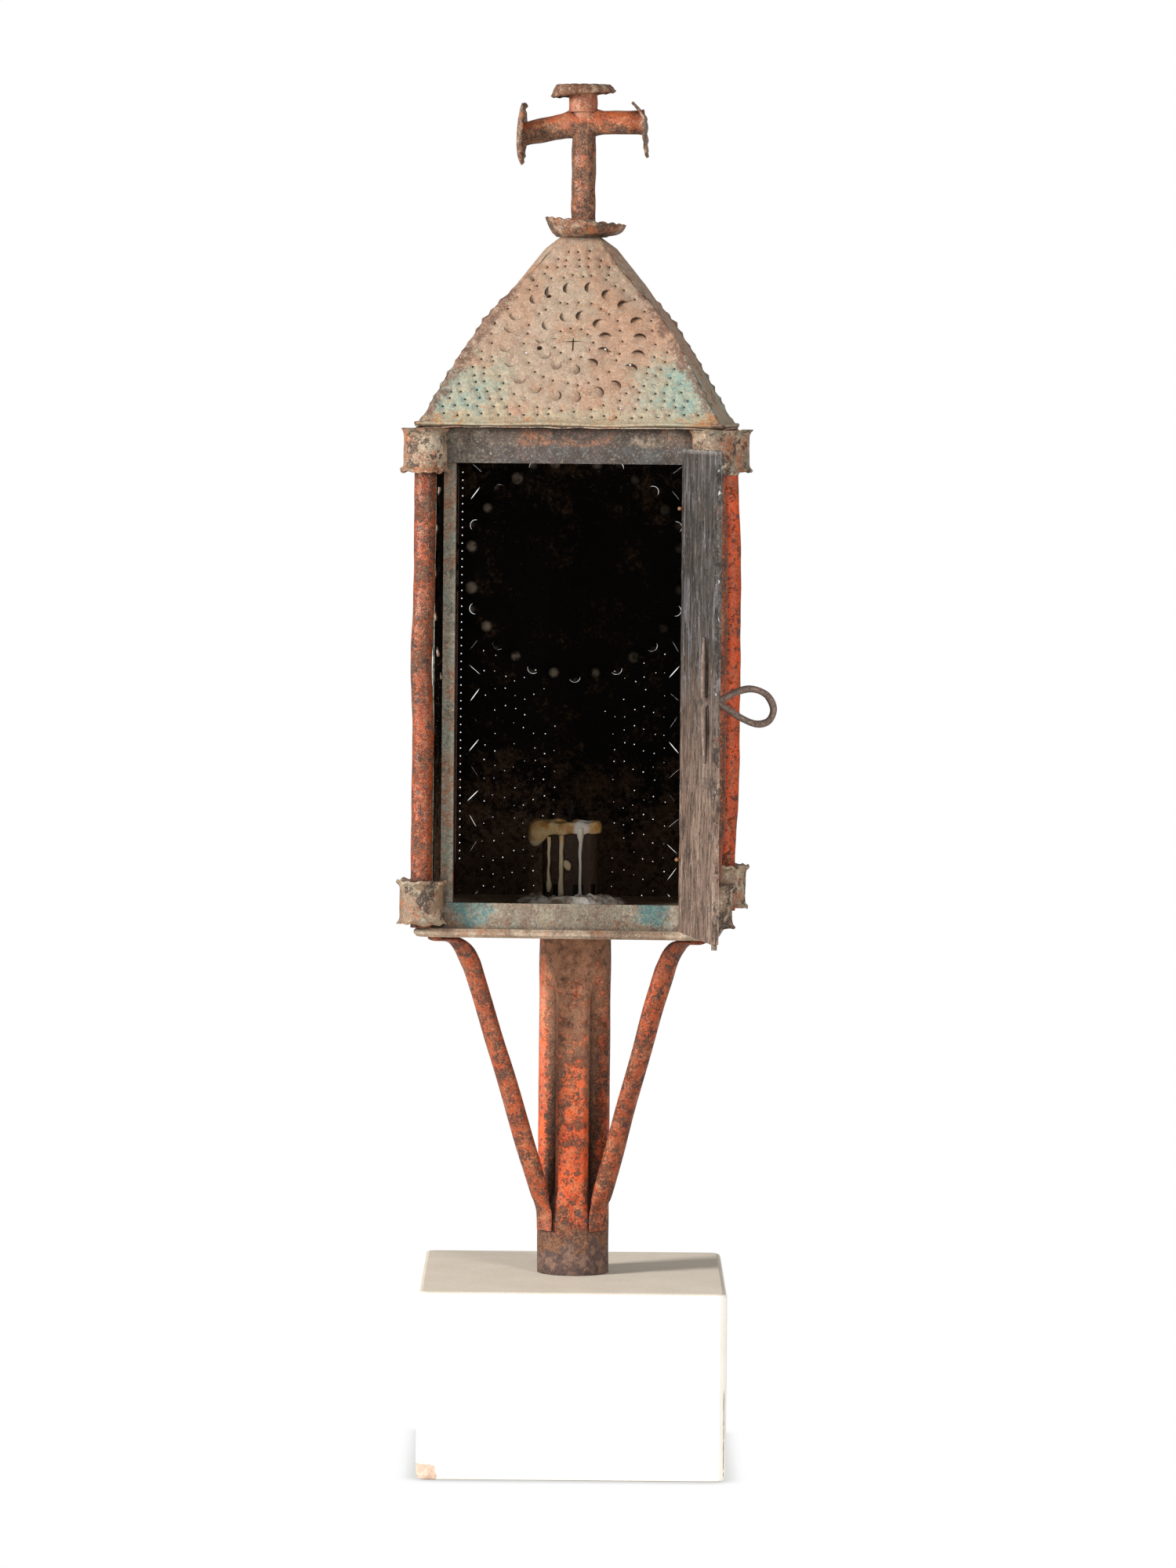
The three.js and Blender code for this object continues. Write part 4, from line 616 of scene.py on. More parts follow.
# The record's material slots of the new pieces' finishes
SLOT_OF = dict.fromkeys(("socket", "brace", "post", "back_post", "cross"), "red_paint")
SLOT_OF.update(dict.fromkeys(("collar", "cornice", "ruffle"), "rusty_tin"))
SLOT_OF.update(roof="roof_tin", soot="sooty_tin", wax="wax", board="grey_wood")
SLOT_OF.update(wire="rusty_wire", char="charred_wick")

NODES_OF = {
    "block": ["display_block"],
    "peg": ["stub_pole"],
    "socket": ["pole_socket"],
    "brace": ["brace_left", "brace_right"],
    "tray": ["floor_tray"],
    "rail": ["bottom_rail"],
    "top_rail": ["top_rail"],
    "jamb": ["jamb_left", "jamb_right"],
    "post": ["post_front_left", "post_front_right"],
    "back_post": ["post_back_left", "post_back_right"],
    "collar": [f"{end}_collar_{corner}" for end in COLLAR_ENDS for corner in CORNERS],
    "soot": ["wall_back", "wall_left", "wall_right"],
    "cornice": ["cornice_plate"],
    "roof": [f"roof_panel_{side}" for side in SIDES],
    "neck": ["neck_ring"],
    "cross": ["cross_stem", "cross_sleeve", "cross_arm_left", "cross_arm_right"],
    "ruffle": ["scalloped_dish", "rosette_top", "rosette_left", "rosette_right"],
    "candle_socket": ["candle_socket"],
    "stub": ["candle_stub"],
    "char": ["candle_wick"],
    "wax": ["wax_rim", "wax_pool"],
    "wire": ["hinge_pintle_upper", "hinge_pintle_lower", "door_pull", "door_pin"],
    "board": ["door_board"],
    "copper": ["hinge_eye_upper", "hinge_eye_lower"],
}
FINISH_OF = {node_name: key for key, names in NODES_OF.items() for node_name in names}

for node_name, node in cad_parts.items():
    node.data.materials.clear()
    node.data.materials.append(finishes[FINISH_OF[node_name]])


# Pieces: each stands for one node of the part, and has its finish and body


def add_piece(name, places, faces, stands_for, thickness=None):
    """A piece with crisp edges; with a thickness it is a sheet, thickened inwards."""
    mesh = bpy.data.meshes.new(name)
    mesh.from_pydata([tuple(p) for p in places], [], [tuple(face) for face in faces])
    mesh.validate()
    piece = bpy.data.objects.new(name, mesh)
    bpy.context.scene.collection.objects.link(piece)
    key = FINISH_OF[stands_for]
    mesh.materials.append(finishes[key])
    for face in mesh.polygons:
        face.use_smooth = True
    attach(piece, "door" if stands_for.startswith("door_") else "lantern")
    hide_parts(stands_for)
    if thickness is not None:
        thick = piece.modifiers.new("thickness", "SOLIDIFY")
        thick.thickness = thickness
        thick.offset = -1
    crisp = piece.modifiers.new("crisp_edges", "EDGE_SPLIT")
    crisp.split_angle = math.radians(50)
    return piece


def smooth(piece):
    """Rounds a piece, without splitting its edges."""
    piece.modifiers.clear()
    rounding = piece.modifiers.new("rounding", "SUBSURF")
    rounding.levels = rounding.render_levels = 1


def row_faces(rows, columns, is_ring, is_loop=False):
    faces = []
    for row in range(rows if is_loop else rows - 1):
        here, above = row * columns, (row + 1) % rows * columns
        for i in range(columns if is_ring else columns - 1):
            after = (i + 1) % columns
            faces.append((here + i, here + after, above + after, above + i))
    return faces


def skin(name, rows, stands_for, thickness=TIN, is_ring=True):
    """A thickened sheet through rows of places."""
    faces = row_faces(len(rows), len(rows[0]), is_ring)
    return add_piece(name, [place for row in rows for place in row], faces, stands_for, thickness)


def massive(name, rows, stands_for, is_loop=False):
    """A massive piece through rings of places: closed by caps, or a loop of rings."""
    places = [place for row in rows for place in row]
    columns = len(rows[0])
    faces = row_faces(len(rows), columns, True, is_loop)
    if not is_loop:
        faces.append(tuple(reversed(range(columns))))
        faces.append(tuple(range(len(places) - columns, len(places))))
    return add_piece(name, places, faces, stands_for)


def grid(place, rows, columns):
    return [[place(row, i) for i in range(columns)] for row in range(rows + 1)]


def rod_rows(run, reach_at, sides=12, flat_at=None, across=None):
    """Rings of radius reach_at round a run of places; squarely to across they are thinner by flat_at."""
    rows = []
    side = None
    last = len(run) - 1
    for i, place in enumerate(run):
        along = (run[min(i + 1, last)] - run[max(i - 1, 0)]).normalized()
        if across is not None:
            side = across
        elif side is None:
            side = along.orthogonal().normalized()
        side = (side - along * side.dot(along)).normalized()
        other = along.cross(side)
        reach = reach_at(i / last)
        thin = flat_at(i / last) if flat_at else 1
        angles = [FULL_TURN * k / sides for k in range(sides)]
        rows.append([place + side * reach * math.cos(a) + other * reach * thin * math.sin(a) for a in angles])
    return rows


def through(points, steps):
    """A smooth run of places through the given ones."""
    run = []
    last = len(points) - 1
    for i in range(last):
        before, here, there, after = (Vector(points[max(0, min(last, k))]) for k in (i - 1, i, i + 1, i + 2))
        for step in range(steps):
            t = step / steps
            run.append(
                here
                + (there - before) * t / 2
                + (before - here * 2.5 + there * 2 - after / 2) * t**2
                + (here * 1.5 - before / 2 - there * 1.5 + after / 2) * t**3
            )
    run.append(Vector(points[last]))
    return run


def ease(low, high, value):
    share = max(0.0, min(1.0, (value - low) / (high - low)))
    return share * share * (3 - 2 * share)


def ripple(x, y, z, size):
    """Smooth chance between -1 and 1 with features of about this size."""
    return noise.noise(Vector((x, y, z)) / size)


def wobble(x, y, z, size, amount):
    """A small shift that changes smoothly from place to place."""
    return noise.noise_vector(Vector((x, y, z)) / size) * amount


def on_circle(x, y, radius, angle):
    return (x + radius * math.cos(angle), y + radius * math.sin(angle))


def circle_points(x, y, radius, count, start=0.0):
    return [on_circle(x, y, radius, start + FULL_TURN * i / count) for i in range(count)]


# Pierced sheets

DOT_SIDES = 7
CRESCENT_STEPS = 8
CRESCENT_SPREAD = math.radians(88)


def centre_and_reach(ring):
    centre = sum((Vector(p) for p in ring), Vector((0, 0))) / len(ring)
    return centre, max((Vector(p) - centre).length for p in ring)


def inside(point, ring):
    x, y = point
    is_in = False
    for (x0, y0), (x1, y1) in zip(ring, [*ring[1:], ring[0]]):
        if (y0 > y) != (y1 > y) and x < (x1 - x0) * (y - y0) / (y1 - y0) + x0:
            is_in = not is_in
    return is_in


class Sheet:
    """A flat sheet of tin with holes, given its relief point by point and then bent to shape."""

    def __init__(self, outline, pitch, seed):
        self.outline = outline
        self.pitch = pitch
        self.random = random.Random(seed)
        self.holes = []
        self.guides = []
        self.dents = []
        self.tongues = []

    def jitter(self, amount):
        return self.random.uniform(-amount, amount)

    def dot(self, x, y, radius, reach, depth):
        """A nail hole in the middle of a dent."""
        self.holes.append(circle_points(x, y, radius, DOT_SIDES, self.jitter(1)))
        self.guides += circle_points(x, y, radius * 0.5 + reach * 0.5, 8)
        self.guides += circle_points(x, y, reach, 8, 0.4)
        self.dents.append((x, y, reach, depth))

    def dome(self, x, y, reach, height):
        """A knock from behind that didn't go through."""
        self.guides.append((x, y))
        self.guides += circle_points(x, y, reach * 0.5, 7)
        self.guides += circle_points(x, y, reach, 9)
        self.dents.append((x, y, reach, height))

    def crescent(self, x, y, facing, radius, slit, lift):
        """A curved chisel cut with the tongue inside its bow pushed out."""
        steps = range(CRESCENT_STEPS + 1)
        angles = [facing - CRESCENT_SPREAD + 2 * CRESCENT_SPREAD * i / CRESCENT_STEPS for i in steps]
        bows = [radius - slit * math.sin(math.pi * i / CRESCENT_STEPS) for i in steps]
        outer = [on_circle(x, y, radius, angle) for angle in angles]
        self.holes.append(outer + [on_circle(x, y, bows[i], angles[i]) for i in reversed(steps[1:-1])])
        self.guides += circle_points(x, y, radius * 0.45, 6)
        self.guides += circle_points(x, y, radius * 1.45, 10)
        turns = (-0.9, -0.3, 0.3, 0.9)
        self.guides += [on_circle(x, y, radius * 0.99, facing + math.pi + turn) for turn in turns]
        self.tongues.append((x, y, facing, radius, lift))

    def slash(self, x, y, angle, length, width):
        """A straight chisel cut, widest over its middle half."""
        along = Vector((math.cos(angle), math.sin(angle))) * length / 2
        across = Vector((-math.sin(angle), math.cos(angle))) * width / 2
        wide = along * 0.5
        middle = Vector((x, y))
        corners = (-along, across - wide, across + wide, along, wide - across, -wide - across)
        self.holes.append([tuple(middle + corner) for corner in corners])
        self.guides += [tuple(middle + across * b * 4 + along * a) for b in (-1, 1) for a in (-0.8, 0, 0.8)]

    def relief(self, x, y):
        height = 0.0
        for cx, cy, reach, depth in self.dents:
            away = math.hypot(x - cx, y - cy) / reach
            if away < 1:
                height += depth * (1 - away) ** 1.5 * (1 + away)
        for cx, cy, facing, radius, lift in self.tongues:
            dx, dy = x - cx, y - cy
            away = math.hypot(dx, dy) / radius
            along = (dx * math.cos(facing) + dy * math.sin(facing)) / radius
            if away < 0.995:
                side = max(0.0, 1 - (dy * math.cos(facing) - dx * math.sin(facing)) ** 2 / radius**2)
                height += lift * (0.5 + along / 2) * side**0.5
            elif away < 1.45:
                height -= lift * 0.12 * (1.45 - away) / 0.45
        return height

    def build(self, name, bend, stands_for):
        """Triangulates the sheet, drops the holes, and bends it: bend(x, y, height) gives a place."""
        points, edges = [], []
        for ring in [self.outline, *self.holes]:
            first = len(points)
            points += ring
            edges += [(first + i, first + (i + 1) % len(ring)) for i in range(len(ring))]
        low = [min(p[axis] for p in self.outline) for axis in (0, 1)]
        high = [max(p[axis] for p in self.outline) for axis in (0, 1)]
        columns, rows = (int((high[axis] - low[axis]) / self.pitch) for axis in (0, 1))
        for column in range(1, columns):
            for row in range(1, rows):
                offset = 0.5 * (row % 2)
                self.guides.append((low[0] + self.pitch * (column + offset), low[1] + self.pitch * row))
        points += [p for p in self.guides if inside(p, self.outline)]
        flat = delaunay_2d_cdt([Vector(p) for p in points], edges, [], 0, 1e-6)
        places, faces = flat[0], flat[2]
        holes = [(ring, *centre_and_reach(ring)) for ring in self.holes]

        def is_tin(face):
            middle = sum((places[i] for i in face), Vector((0, 0))) / len(face)
            return inside(middle, self.outline) and not any(
                (middle - centre).length < reach and inside(middle, ring) for ring, centre, reach in holes
            )

        kept = [face for face in faces if is_tin(face)]
        bent = [bend(x, y, self.relief(x, y)) for x, y in places]
        return add_piece(name, bent, kept, stands_for, TIN)


def pierce_wall(sheet, half, shift):
    """A ring of crescents above, zigzags and dot columns at the sides, and fans of dots below."""
    ring_height = 223.5 * MM
    ring_radius = 70.8 * MM
    crescents = 16
    for i in range(crescents):
        angle = FULL_TURN * i / crescents
        x, y = on_circle(shift, ring_height, ring_radius, angle)
        if abs(x) < half - 6 * MM:
            facing = angle + sheet.jitter(0.15)
            sheet.crescent(x, y, facing, 3.7 * MM, sheet.random.uniform(0.15, 0.55) * MM, 1.6 * MM)
        x, y = on_circle(shift, ring_height, ring_radius * 0.98, angle + FULL_TURN / crescents / 2)
        if abs(x) < half - 6 * MM:
            sheet.dome(x, y, 5.6 * MM, 2.6 * MM)
    for side in (-1, 1):
        for i in range(19):
            x = shift + side * 65 * MM + sheet.jitter(1 * MM)
            y = 9 * MM + i * 16.4 * MM
            ring_gap = abs(math.hypot(x - shift, y - ring_height) - ring_radius)
            if ring_gap > 9 * MM:
                angle = side * (1 if i % 2 else -1) * (0.85 + sheet.jitter(0.2))
                sheet.slash(x, y, angle, 10.5 * MM, sheet.random.choice((0.08, 0.12, 0.3, 0.55)) * MM)
        for i in range(58):
            sheet.dot(side * (half - 2.3 * MM), 8 * MM + i * 5.13 * MM, 0.42 * MM, 1.3 * MM, -0.3 * MM)
        for row in range(14):
            pierce_fan_row(sheet, half, shift, side, row)


def pierce_fan_row(sheet, half, shift, side, row):
    """One sagging row of dots, clear of the wall's middle."""
    pitch = 6.6
    y = 13 * MM + row * 11.7 * MM
    span = 60 * MM if y < 40 * MM else math.sqrt(max(0, (72 * MM) ** 2 - (y - 100 * MM) ** 2))
    for i in range(int(span / (pitch * MM))):
        x = shift + side * (76 * MM - (i + 1.6) * pitch * MM) + sheet.jitter(0.8 * MM)
        is_clear = abs(x - shift) < 60 * MM and abs(x - shift - 4 * MM) > 16 * MM
        if is_clear and abs(x) < half - 5 * MM and sheet.random.random() < 0.85:
            sag = 3.5 * MM * math.sin(i * 1.3 + row)
            level = y + sag + sheet.jitter(0.7 * MM)
            sheet.dot(x, level, sheet.random.uniform(0.42, 0.68) * MM, 1.9 * MM, 0.6 * MM)


def wall(name, stands_for, half, shift, seed, bend):
    sheet = Sheet([(-half, 0), (half, 0), (half, WALL_HEIGHT), (-half, WALL_HEIGHT)], 9 * MM, seed)
    pierce_wall(sheet, half, shift)
    return sheet.build(name, bend, stands_for)


def walls():
    """The pierced walls; the left one's front edge is curled."""
    outer = WALL_MIDDLE + TIN / 2
    middle = (SIDE_WALL_FRONT + SIDE_WALL_BACK) / 2
    half = (SIDE_WALL_BACK - SIDE_WALL_FRONT) / 2

    def back(x, y, height):
        belly = min(0, 1.2 * MM * ripple(x, 0, y, 45 * MM))
        return (x, outer - height + belly, WALL_FOOT + y)

    def left(x, y, height):
        belly = min(0, 1.0 * MM * ripple(x, 2, y, 45 * MM))
        curl = (1.1 + 0.9 * ripple(2, 0, y, 13 * MM)) * MM * (1 - ease(0, 9 * MM, x + half))
        return (curl - (outer - height + belly), middle + x, WALL_FOOT + y)

    def right(x, y, height):
        belly = min(0, 1.0 * MM * ripple(x, 3, y, 45 * MM))
        return (outer - height + belly, middle + x, WALL_FOOT + y)

    wall("back_wall", "wall_back", WALL_INNER_HALF, -8 * MM, 1, back)
    wall("left_wall", "wall_left", half, 0.0, 2, left)
    wall("right_wall", "wall_right", half, 0.0, 3, right).data.flip_normals()


ROOF_SLOPE = math.atan2(ROOF_HEIGHT, ROOF_EAVE_HALF - ROOF_NECK_HALF)
ROOF_REACH = ROOF_HEIGHT / math.sin(ROOF_SLOPE)
ROOF_MOTIF = ROOF_MOTIF_HEIGHT / math.sin(ROOF_SLOPE)


def roof_half(share):
    straight = ROOF_EAVE_HALF + (ROOF_NECK_HALF - ROOF_EAVE_HALF) * share
    hem = max(0, 1 - share * ROOF_HEIGHT / ROOF_HEM_HEIGHT) * ROOF_HEM
    return straight + 4 * ROOF_BELLY * share * (1 - share) + hem


def roof_bow(place):
    return wobble(*place, 38 * MM, 1.0 * MM)


def roof_place(x, y, height):
    """Bends the flat panel to the front face of the roof, square below and round at the neck."""
    share = y / ROOF_REACH
    half = roof_half(share)
    across = max(-1, min(1, x / half))
    turn = ease(0.55, 1, share)
    angle = across * FULL_TURN / 8
    side = half * across * (1 - turn) + half * math.sin(angle) * turn
    out = half * (1 - turn) + half * math.cos(angle) * turn
    up = ROOF_FOOT + share * ROOF_HEIGHT + height * math.cos(ROOF_SLOPE)
    place = Vector((side, -out - height * math.sin(ROOF_SLOPE), up))
    return place + roof_bow(place)


def pierce_roof(sheet):
    """Two rings of swirling crescents round a slit cross, dot rings between, and dots over the rest."""
    centre = ROOF_MOTIF
    for count, radius, size in ((11, 20.5 * MM, 3.9 * MM), (20, 42 * MM, 4.3 * MM)):
        for i in range(count):
            angle = FULL_TURN * (i + 0.3) / count + sheet.jitter(0.05)
            x, y = on_circle(0, centre, radius + sheet.jitter(0.8 * MM), angle)
            slit = sheet.random.uniform(0.4, 0.9) * MM
            sheet.crescent(x, y, angle + FULL_TURN / 4 + sheet.jitter(0.3), size, slit, -2.2 * MM)
    arm, slit = 7.5 * MM, 0.45 * MM
    cross_hole = [(-arm, -slit), (-slit, -slit), (-slit, -arm), (slit, -arm * 0.9), (slit, -slit), (arm, 0)]
    cross_hole += [(slit, slit), (0, arm * 0.8), (-slit, slit)]
    sheet.holes.append([(x, centre + y) for x, y in cross_hole])
    for count, radius in ((11, 11.5 * MM), (26, 31.2 * MM), (38, 51.5 * MM)):
        for i in range(count):
            angle = FULL_TURN * i / count + sheet.jitter(0.06)
            x, y = on_circle(0, centre, radius + sheet.jitter(1.2 * MM), angle)
            if y > 6 * MM and abs(x) < roof_half(y / ROOF_REACH) - 7 * MM:
                sheet.dot(x, y, 0.75 * MM, 2.9 * MM, -1.1 * MM)
    for row in range(23):
        y = 8.5 * MM + row * 5.9 * MM
        half = roof_half(y / ROOF_REACH) - 7 * MM
        count = max(1, int(2 * half / (8 * MM)))
        for i in range(count + 1):
            x = -half + 2 * half * (i + (0.0 if row % 2 else 0.5)) / count + sheet.jitter(1.5 * MM)
            away = math.hypot(x, y - centre)
            if abs(x) <= half and away > 55 * MM and y < ROOF_REACH - 6 * MM:
                sheet.dot(x, y + sheet.jitter(1 * MM), 0.75 * MM, 2.6 * MM, -1.2 * MM)
    for side in (-1, 1):
        for i in range(17):
            y = (7 + 7.9 * i) * MM + sheet.jitter(1.6 * MM)
            x = side * (roof_half(y / ROOF_REACH) - 2.5 * MM)
            sheet.dome(x, y, 3.8 * MM, sheet.random.uniform(0.9, 2.2) * MM)
    sheet.dot(-18.5 * MM, centre + 35 * MM, 1.9 * MM, 3.2 * MM, -0.8 * MM)
    sheet.dot(-21 * MM, centre - 4.5 * MM, 1.8 * MM, 3.0 * MM, -0.8 * MM)


def roof():
    """Four pierced panels, the other three copied from the front one, and a rolled edge along their feet."""
    steps = 26
    right = [(roof_half(i / steps), ROOF_REACH * i / steps) for i in range(steps + 1)]
    sheet = Sheet(right + [(-x, y) for x, y in reversed(right)], 7 * MM, 4)
    pierce_roof(sheet)
    front = sheet.build("roof_front", roof_place, "roof_panel_front").data
    faces = [face.vertices for face in front.polygons]
    for quarter, side in enumerate(SIDES):
        angle = FULL_TURN * quarter / 4
        if quarter:
            turned = [quarter_turned(vertex.co - roof_bow(vertex.co), angle) for vertex in front.vertices]
            add_piece(f"roof_{side}", [p + roof_bow(p) for p in turned], faces, f"roof_panel_{side}", TIN)
    for quarter, side in enumerate(SIDES):
        roof_hem(side, Matrix.Rotation(FULL_TURN * quarter / 4, 3, "Z"))


def quarter_turned(place, angle):
    """The place turned about the upright axis, without the rounding of a Matrix."""
    x, y, z = place
    cos, sin = math.cos(angle), math.sin(angle)
    return Vector((x * cos - y * sin, x * sin + y * cos, z))


def roof_hem(side, turn):
    steps = 30
    reach = ROOF_EAVE_HALF + ROOF_HEM - 0.6 * MM
    shares = [2 * i / steps - 1 for i in range(steps + 1)]
    run = [turn @ Vector((reach * share, -reach, ROOF_FOOT + 1.2 * MM)) for share in shares]
    rows = rod_rows([p + roof_bow(p) for p in run], lambda share: 1.15 * MM, 10)
    massive(f"hem_{side}", rows, f"roof_panel_{side}")


# The lantern's tubes


def pole_socket():
    """A rolled tube with four pressed flutes and a lapped seam at the back."""
    seam = math.radians(96)
    rows, columns = 70, 120

    def place(row, i):
        z = SOCKET_FOOT + (SOCKET_TOP - SOCKET_FOOT) * row / rows
        angle = FULL_TURN * i / columns
        off = abs((angle % (FULL_TURN / 4)) - FULL_TURN / 8)
        pressed = ease(FLUTE_FOOT, FLUTE_FOOT + FLUTE_RUN_OUT, z)
        pressed *= 1 - ease(FLUTE_HEAD - FLUTE_RUN_OUT, FLUTE_HEAD, z)
        flute = (1 - off / FLUTE_HALF) ** 1.15 if off < FLUTE_HALF else 0
        lap = TIN * (ease(seam - 0.03, seam, angle) - ease(seam + 0.25, seam + 0.5, angle))
        out = SOCKET_REACH - FLUTE_DEPTH * pressed * flute + lap * 0.7
        out += 0.35 * MM * ripple(math.cos(angle), math.sin(angle), z / (25 * MM), 1)
        return (out * math.cos(angle), out * math.sin(angle), z)

    skin("socket_tube", grid(place, rows, columns), "pole_socket", SOCKET_TIN)


def corner_post(corner, side, depth):
    """A thin tube, dented here and there; the front left one is knocked outwards."""
    rows, columns = 72, 22
    seed = 3 * side + 7 * depth

    def place(row, i):
        z = POST_FOOT + (POST_TOP - POST_FOOT) * row / rows
        angle = FULL_TURN * i / columns
        knock = max(0, 1 - ((z - 508 * MM) / (46 * MM)) ** 2) ** 2 if corner == "front_left" else 0
        bow = 2.2 * MM * ease(372 * MM, 430 * MM, z) * (1 - ease(570 * MM, 625 * MM, z)) if side > 0 else 0
        bend = bow + 0.45 * MM * ripple(seed, 0, z, 60 * MM)
        x = side * (POST_OFFSET + 1.1 * MM * knock) + bend
        y = depth * POST_OFFSET - 1.6 * MM * knock + 0.4 * MM * ripple(0, seed, z, 50 * MM)
        reach = POST_REACH + 0.45 * MM * ripple(math.cos(angle) + seed, math.sin(angle), z / (16 * MM), 1)
        dent = 1.3 * MM * knock * max(0, math.cos(angle + 1.1)) ** 3
        return (x + (reach - dent) * math.cos(angle), y + (reach - dent) * math.sin(angle), z)

    skin(f"tube_{corner}", grid(place, rows, columns), f"post_{corner}")


def collar(corner, side, depth, end):
    """A flared cup with thin curled rims, open towards the walls."""
    is_top = end == "top"
    open_end, closed_end = COLLAR_ENDS[end]
    bore, waist, rim = COLLAR_BORE, COLLAR_WAIST, COLLAR_RIM
    outward = math.atan2(depth, side)
    spread = math.radians(152)
    columns = 64
    seed = 11 * side + 5 * depth + (2 if is_top else 0)
    limit = 0.35 if corner == "front_right" else 1
    profile = [(bore, 0.05), (10 * MM, 0.05), (13 * MM, 0.03), (rim, 0.0), (rim + 0.3 * MM, 0.035)]
    profile += [(14.2 * MM, 0.07), (13.3 * MM, 0.12)]
    profile += [(waist, share) for share in (0.2, 0.35, 0.5, 0.65, 0.8)]
    profile += [(13.3 * MM, 0.88), (14 * MM, 0.94), (rim, 0.985), (rim + 0.4 * MM, 1.0)]

    def place(row, i):
        reach, share = profile[row]
        angle = outward - spread + 2 * spread * i / columns
        flare = max(0, (reach - waist) / (rim - waist)) if reach > waist else 0
        around = (math.cos(angle) * 2 + seed, math.sin(angle) * 2)
        wave = ripple(*around, share * 2, 0.8) * (0.25 + 0.75 * flare)
        dent = ripple(around[0] + 9, around[1], share * 3, 1.1) * 0.45 * MM
        out = reach + (wave * 1.2 * MM * limit + dent) * ease(bore, waist, reach)
        rise = ripple(around[0], around[1] + 4, share, 0.7) * 1.5 * MM * flare * limit
        if share > 0.9 and is_top:
            rise = min(rise, 0)
        z = closed_end + (open_end - closed_end) * share + rise
        return (side * POST_OFFSET + out * math.cos(angle), depth * POST_OFFSET + out * math.sin(angle), z)

    rows = grid(place, len(profile) - 1, columns + 1)
    if is_top:
        rows = [list(reversed(row)) for row in rows]
    skin(f"{end}_cup_{corner}", rows, f"{end}_collar_{corner}", COLLAR_TIN, is_ring=False)


BRACE_STATIONS_MM = (
    (24.3, 145.3), (24.3, 156), (26.4, 163), (31.5, 177), (59, 248), (82, 306), (88.5, 320), (95, 328.5),
    (103, 333.2), (117, 334.6),
)


def brace(side, name):
    """A tube hammered flat at both ends and bent at the tray and at the socket."""
    diagonal = Vector((side, -1, 0)).normalized()
    across = Vector((1, side, 0)).normalized()
    run = through([diagonal * reach * MM + Vector((0, 0, z * MM)) for reach, z in BRACE_STATIONS_MM], 8)
    run = [p + wobble(*p, 30 * MM, 0.5 * MM) for p in run]

    def flat(share):
        return 0.24 + 0.5 * ease(0.14, 0.38, share) * (1 - ease(0.7, 0.95, share))

    def reach(share):
        middle = ease(0.1, 0.3, share) * (1 - ease(0.75, 0.95, share))
        return (7.0 + 0.2 * middle + 0.25 * math.sin(share * 23 + side)) * MM

    massive(f"strap_{name}", rod_rows(run, reach, 20, flat, across), f"brace_{name}")


def cross_tube(name, start, end, reach, stands_for, seed, fillet=0.0):
    """A dented tube between two places; a fillet flares its upper and lower sides where it is soldered on."""
    rows, columns = 44, 28
    start, end = Vector(start) * MM, Vector(end) * MM
    along = (end - start).normalized()
    side = Vector((0, -1, 0)) if along.y == 0 else along.orthogonal().normalized()
    other = along.cross(side)
    length = (end - start).length

    def place(row, i):
        share = row / rows
        angle = FULL_TURN * i / columns
        dent = 0.6 * MM * ripple(math.cos(angle) + seed, math.sin(angle), share * length / (11 * MM), 1)
        near_stem = max(0.0, 1 - abs(share * length - 10 * MM) / (6 * MM)) ** 1.5
        near_tip = max(0.0, 1 - (1 - share) * length / (4 * MM)) ** 2
        flare = fillet * MM * (near_stem * math.sin(angle) ** 4 + near_tip * 0.6)
        out = side * math.cos(angle) + other * math.sin(angle)
        return start.lerp(end, share) + out * (reach * MM + dent + flare)

    skin(name, grid(place, rows, columns), stands_for)


def cross():
    sleeve_x = CROSS_X_MM - 0.8
    cross_tube("stem_tube", (CROSS_X_MM, 0, 780), (CROSS_X_MM, 0, 871.8), 7.7, "cross_stem", 1)
    cross_tube("sleeve_tube", (sleeve_x, 0, 856.5), (sleeve_x, 0, 871.6), 9.0, "cross_sleeve", 2)
    cross_tube("left_arm_tube", (3, 0, 850.6), LEFT_TIP_MM, 7.8, "cross_arm_left", 3, 1.5)
    cross_tube("right_arm_tube", (-2, 0, 850.0), RIGHT_TIP_MM, 7.6, "cross_arm_right", 4, 1.5)


def ruffle(name, reach, petals, frame_at, shape, stands_for, seed, inner=0.2 * MM, crimp_depth=1.3 * MM):
    """A crimped disc: frame_at turns across, up and out into a place, and shape gives its bend outwards."""
    rings, steps = 16, 10
    columns = petals * steps
    chance = random.Random(seed)
    lengths = [chance.uniform(0.0, 0.07) for _ in range(petals)]
    lifts = [chance.uniform(0.5, 1.2) for _ in range(petals)]

    def place(ring, i):
        share = ring / rings
        angle = FULL_TURN * i / columns
        petal = i // steps % petals
        lobe = math.sin(math.pi * (i % steps) / steps) ** 0.6
        edge = share**4
        out = inner + (reach - inner) * share * (1 - 0.075 * edge * (1 - lobe) - lengths[petal] * edge * lobe)
        crimp = (lobe - 0.6) * crimp_depth * (0.4 + 0.6 * lifts[petal] * lobe) * share**1.5
        across, up = out * math.cos(angle), out * math.sin(angle)
        return frame_at(across, up, crimp + shape(share, across, up))

    skin(name, grid(place, rings, columns), stands_for, RUFFLE_TIN)


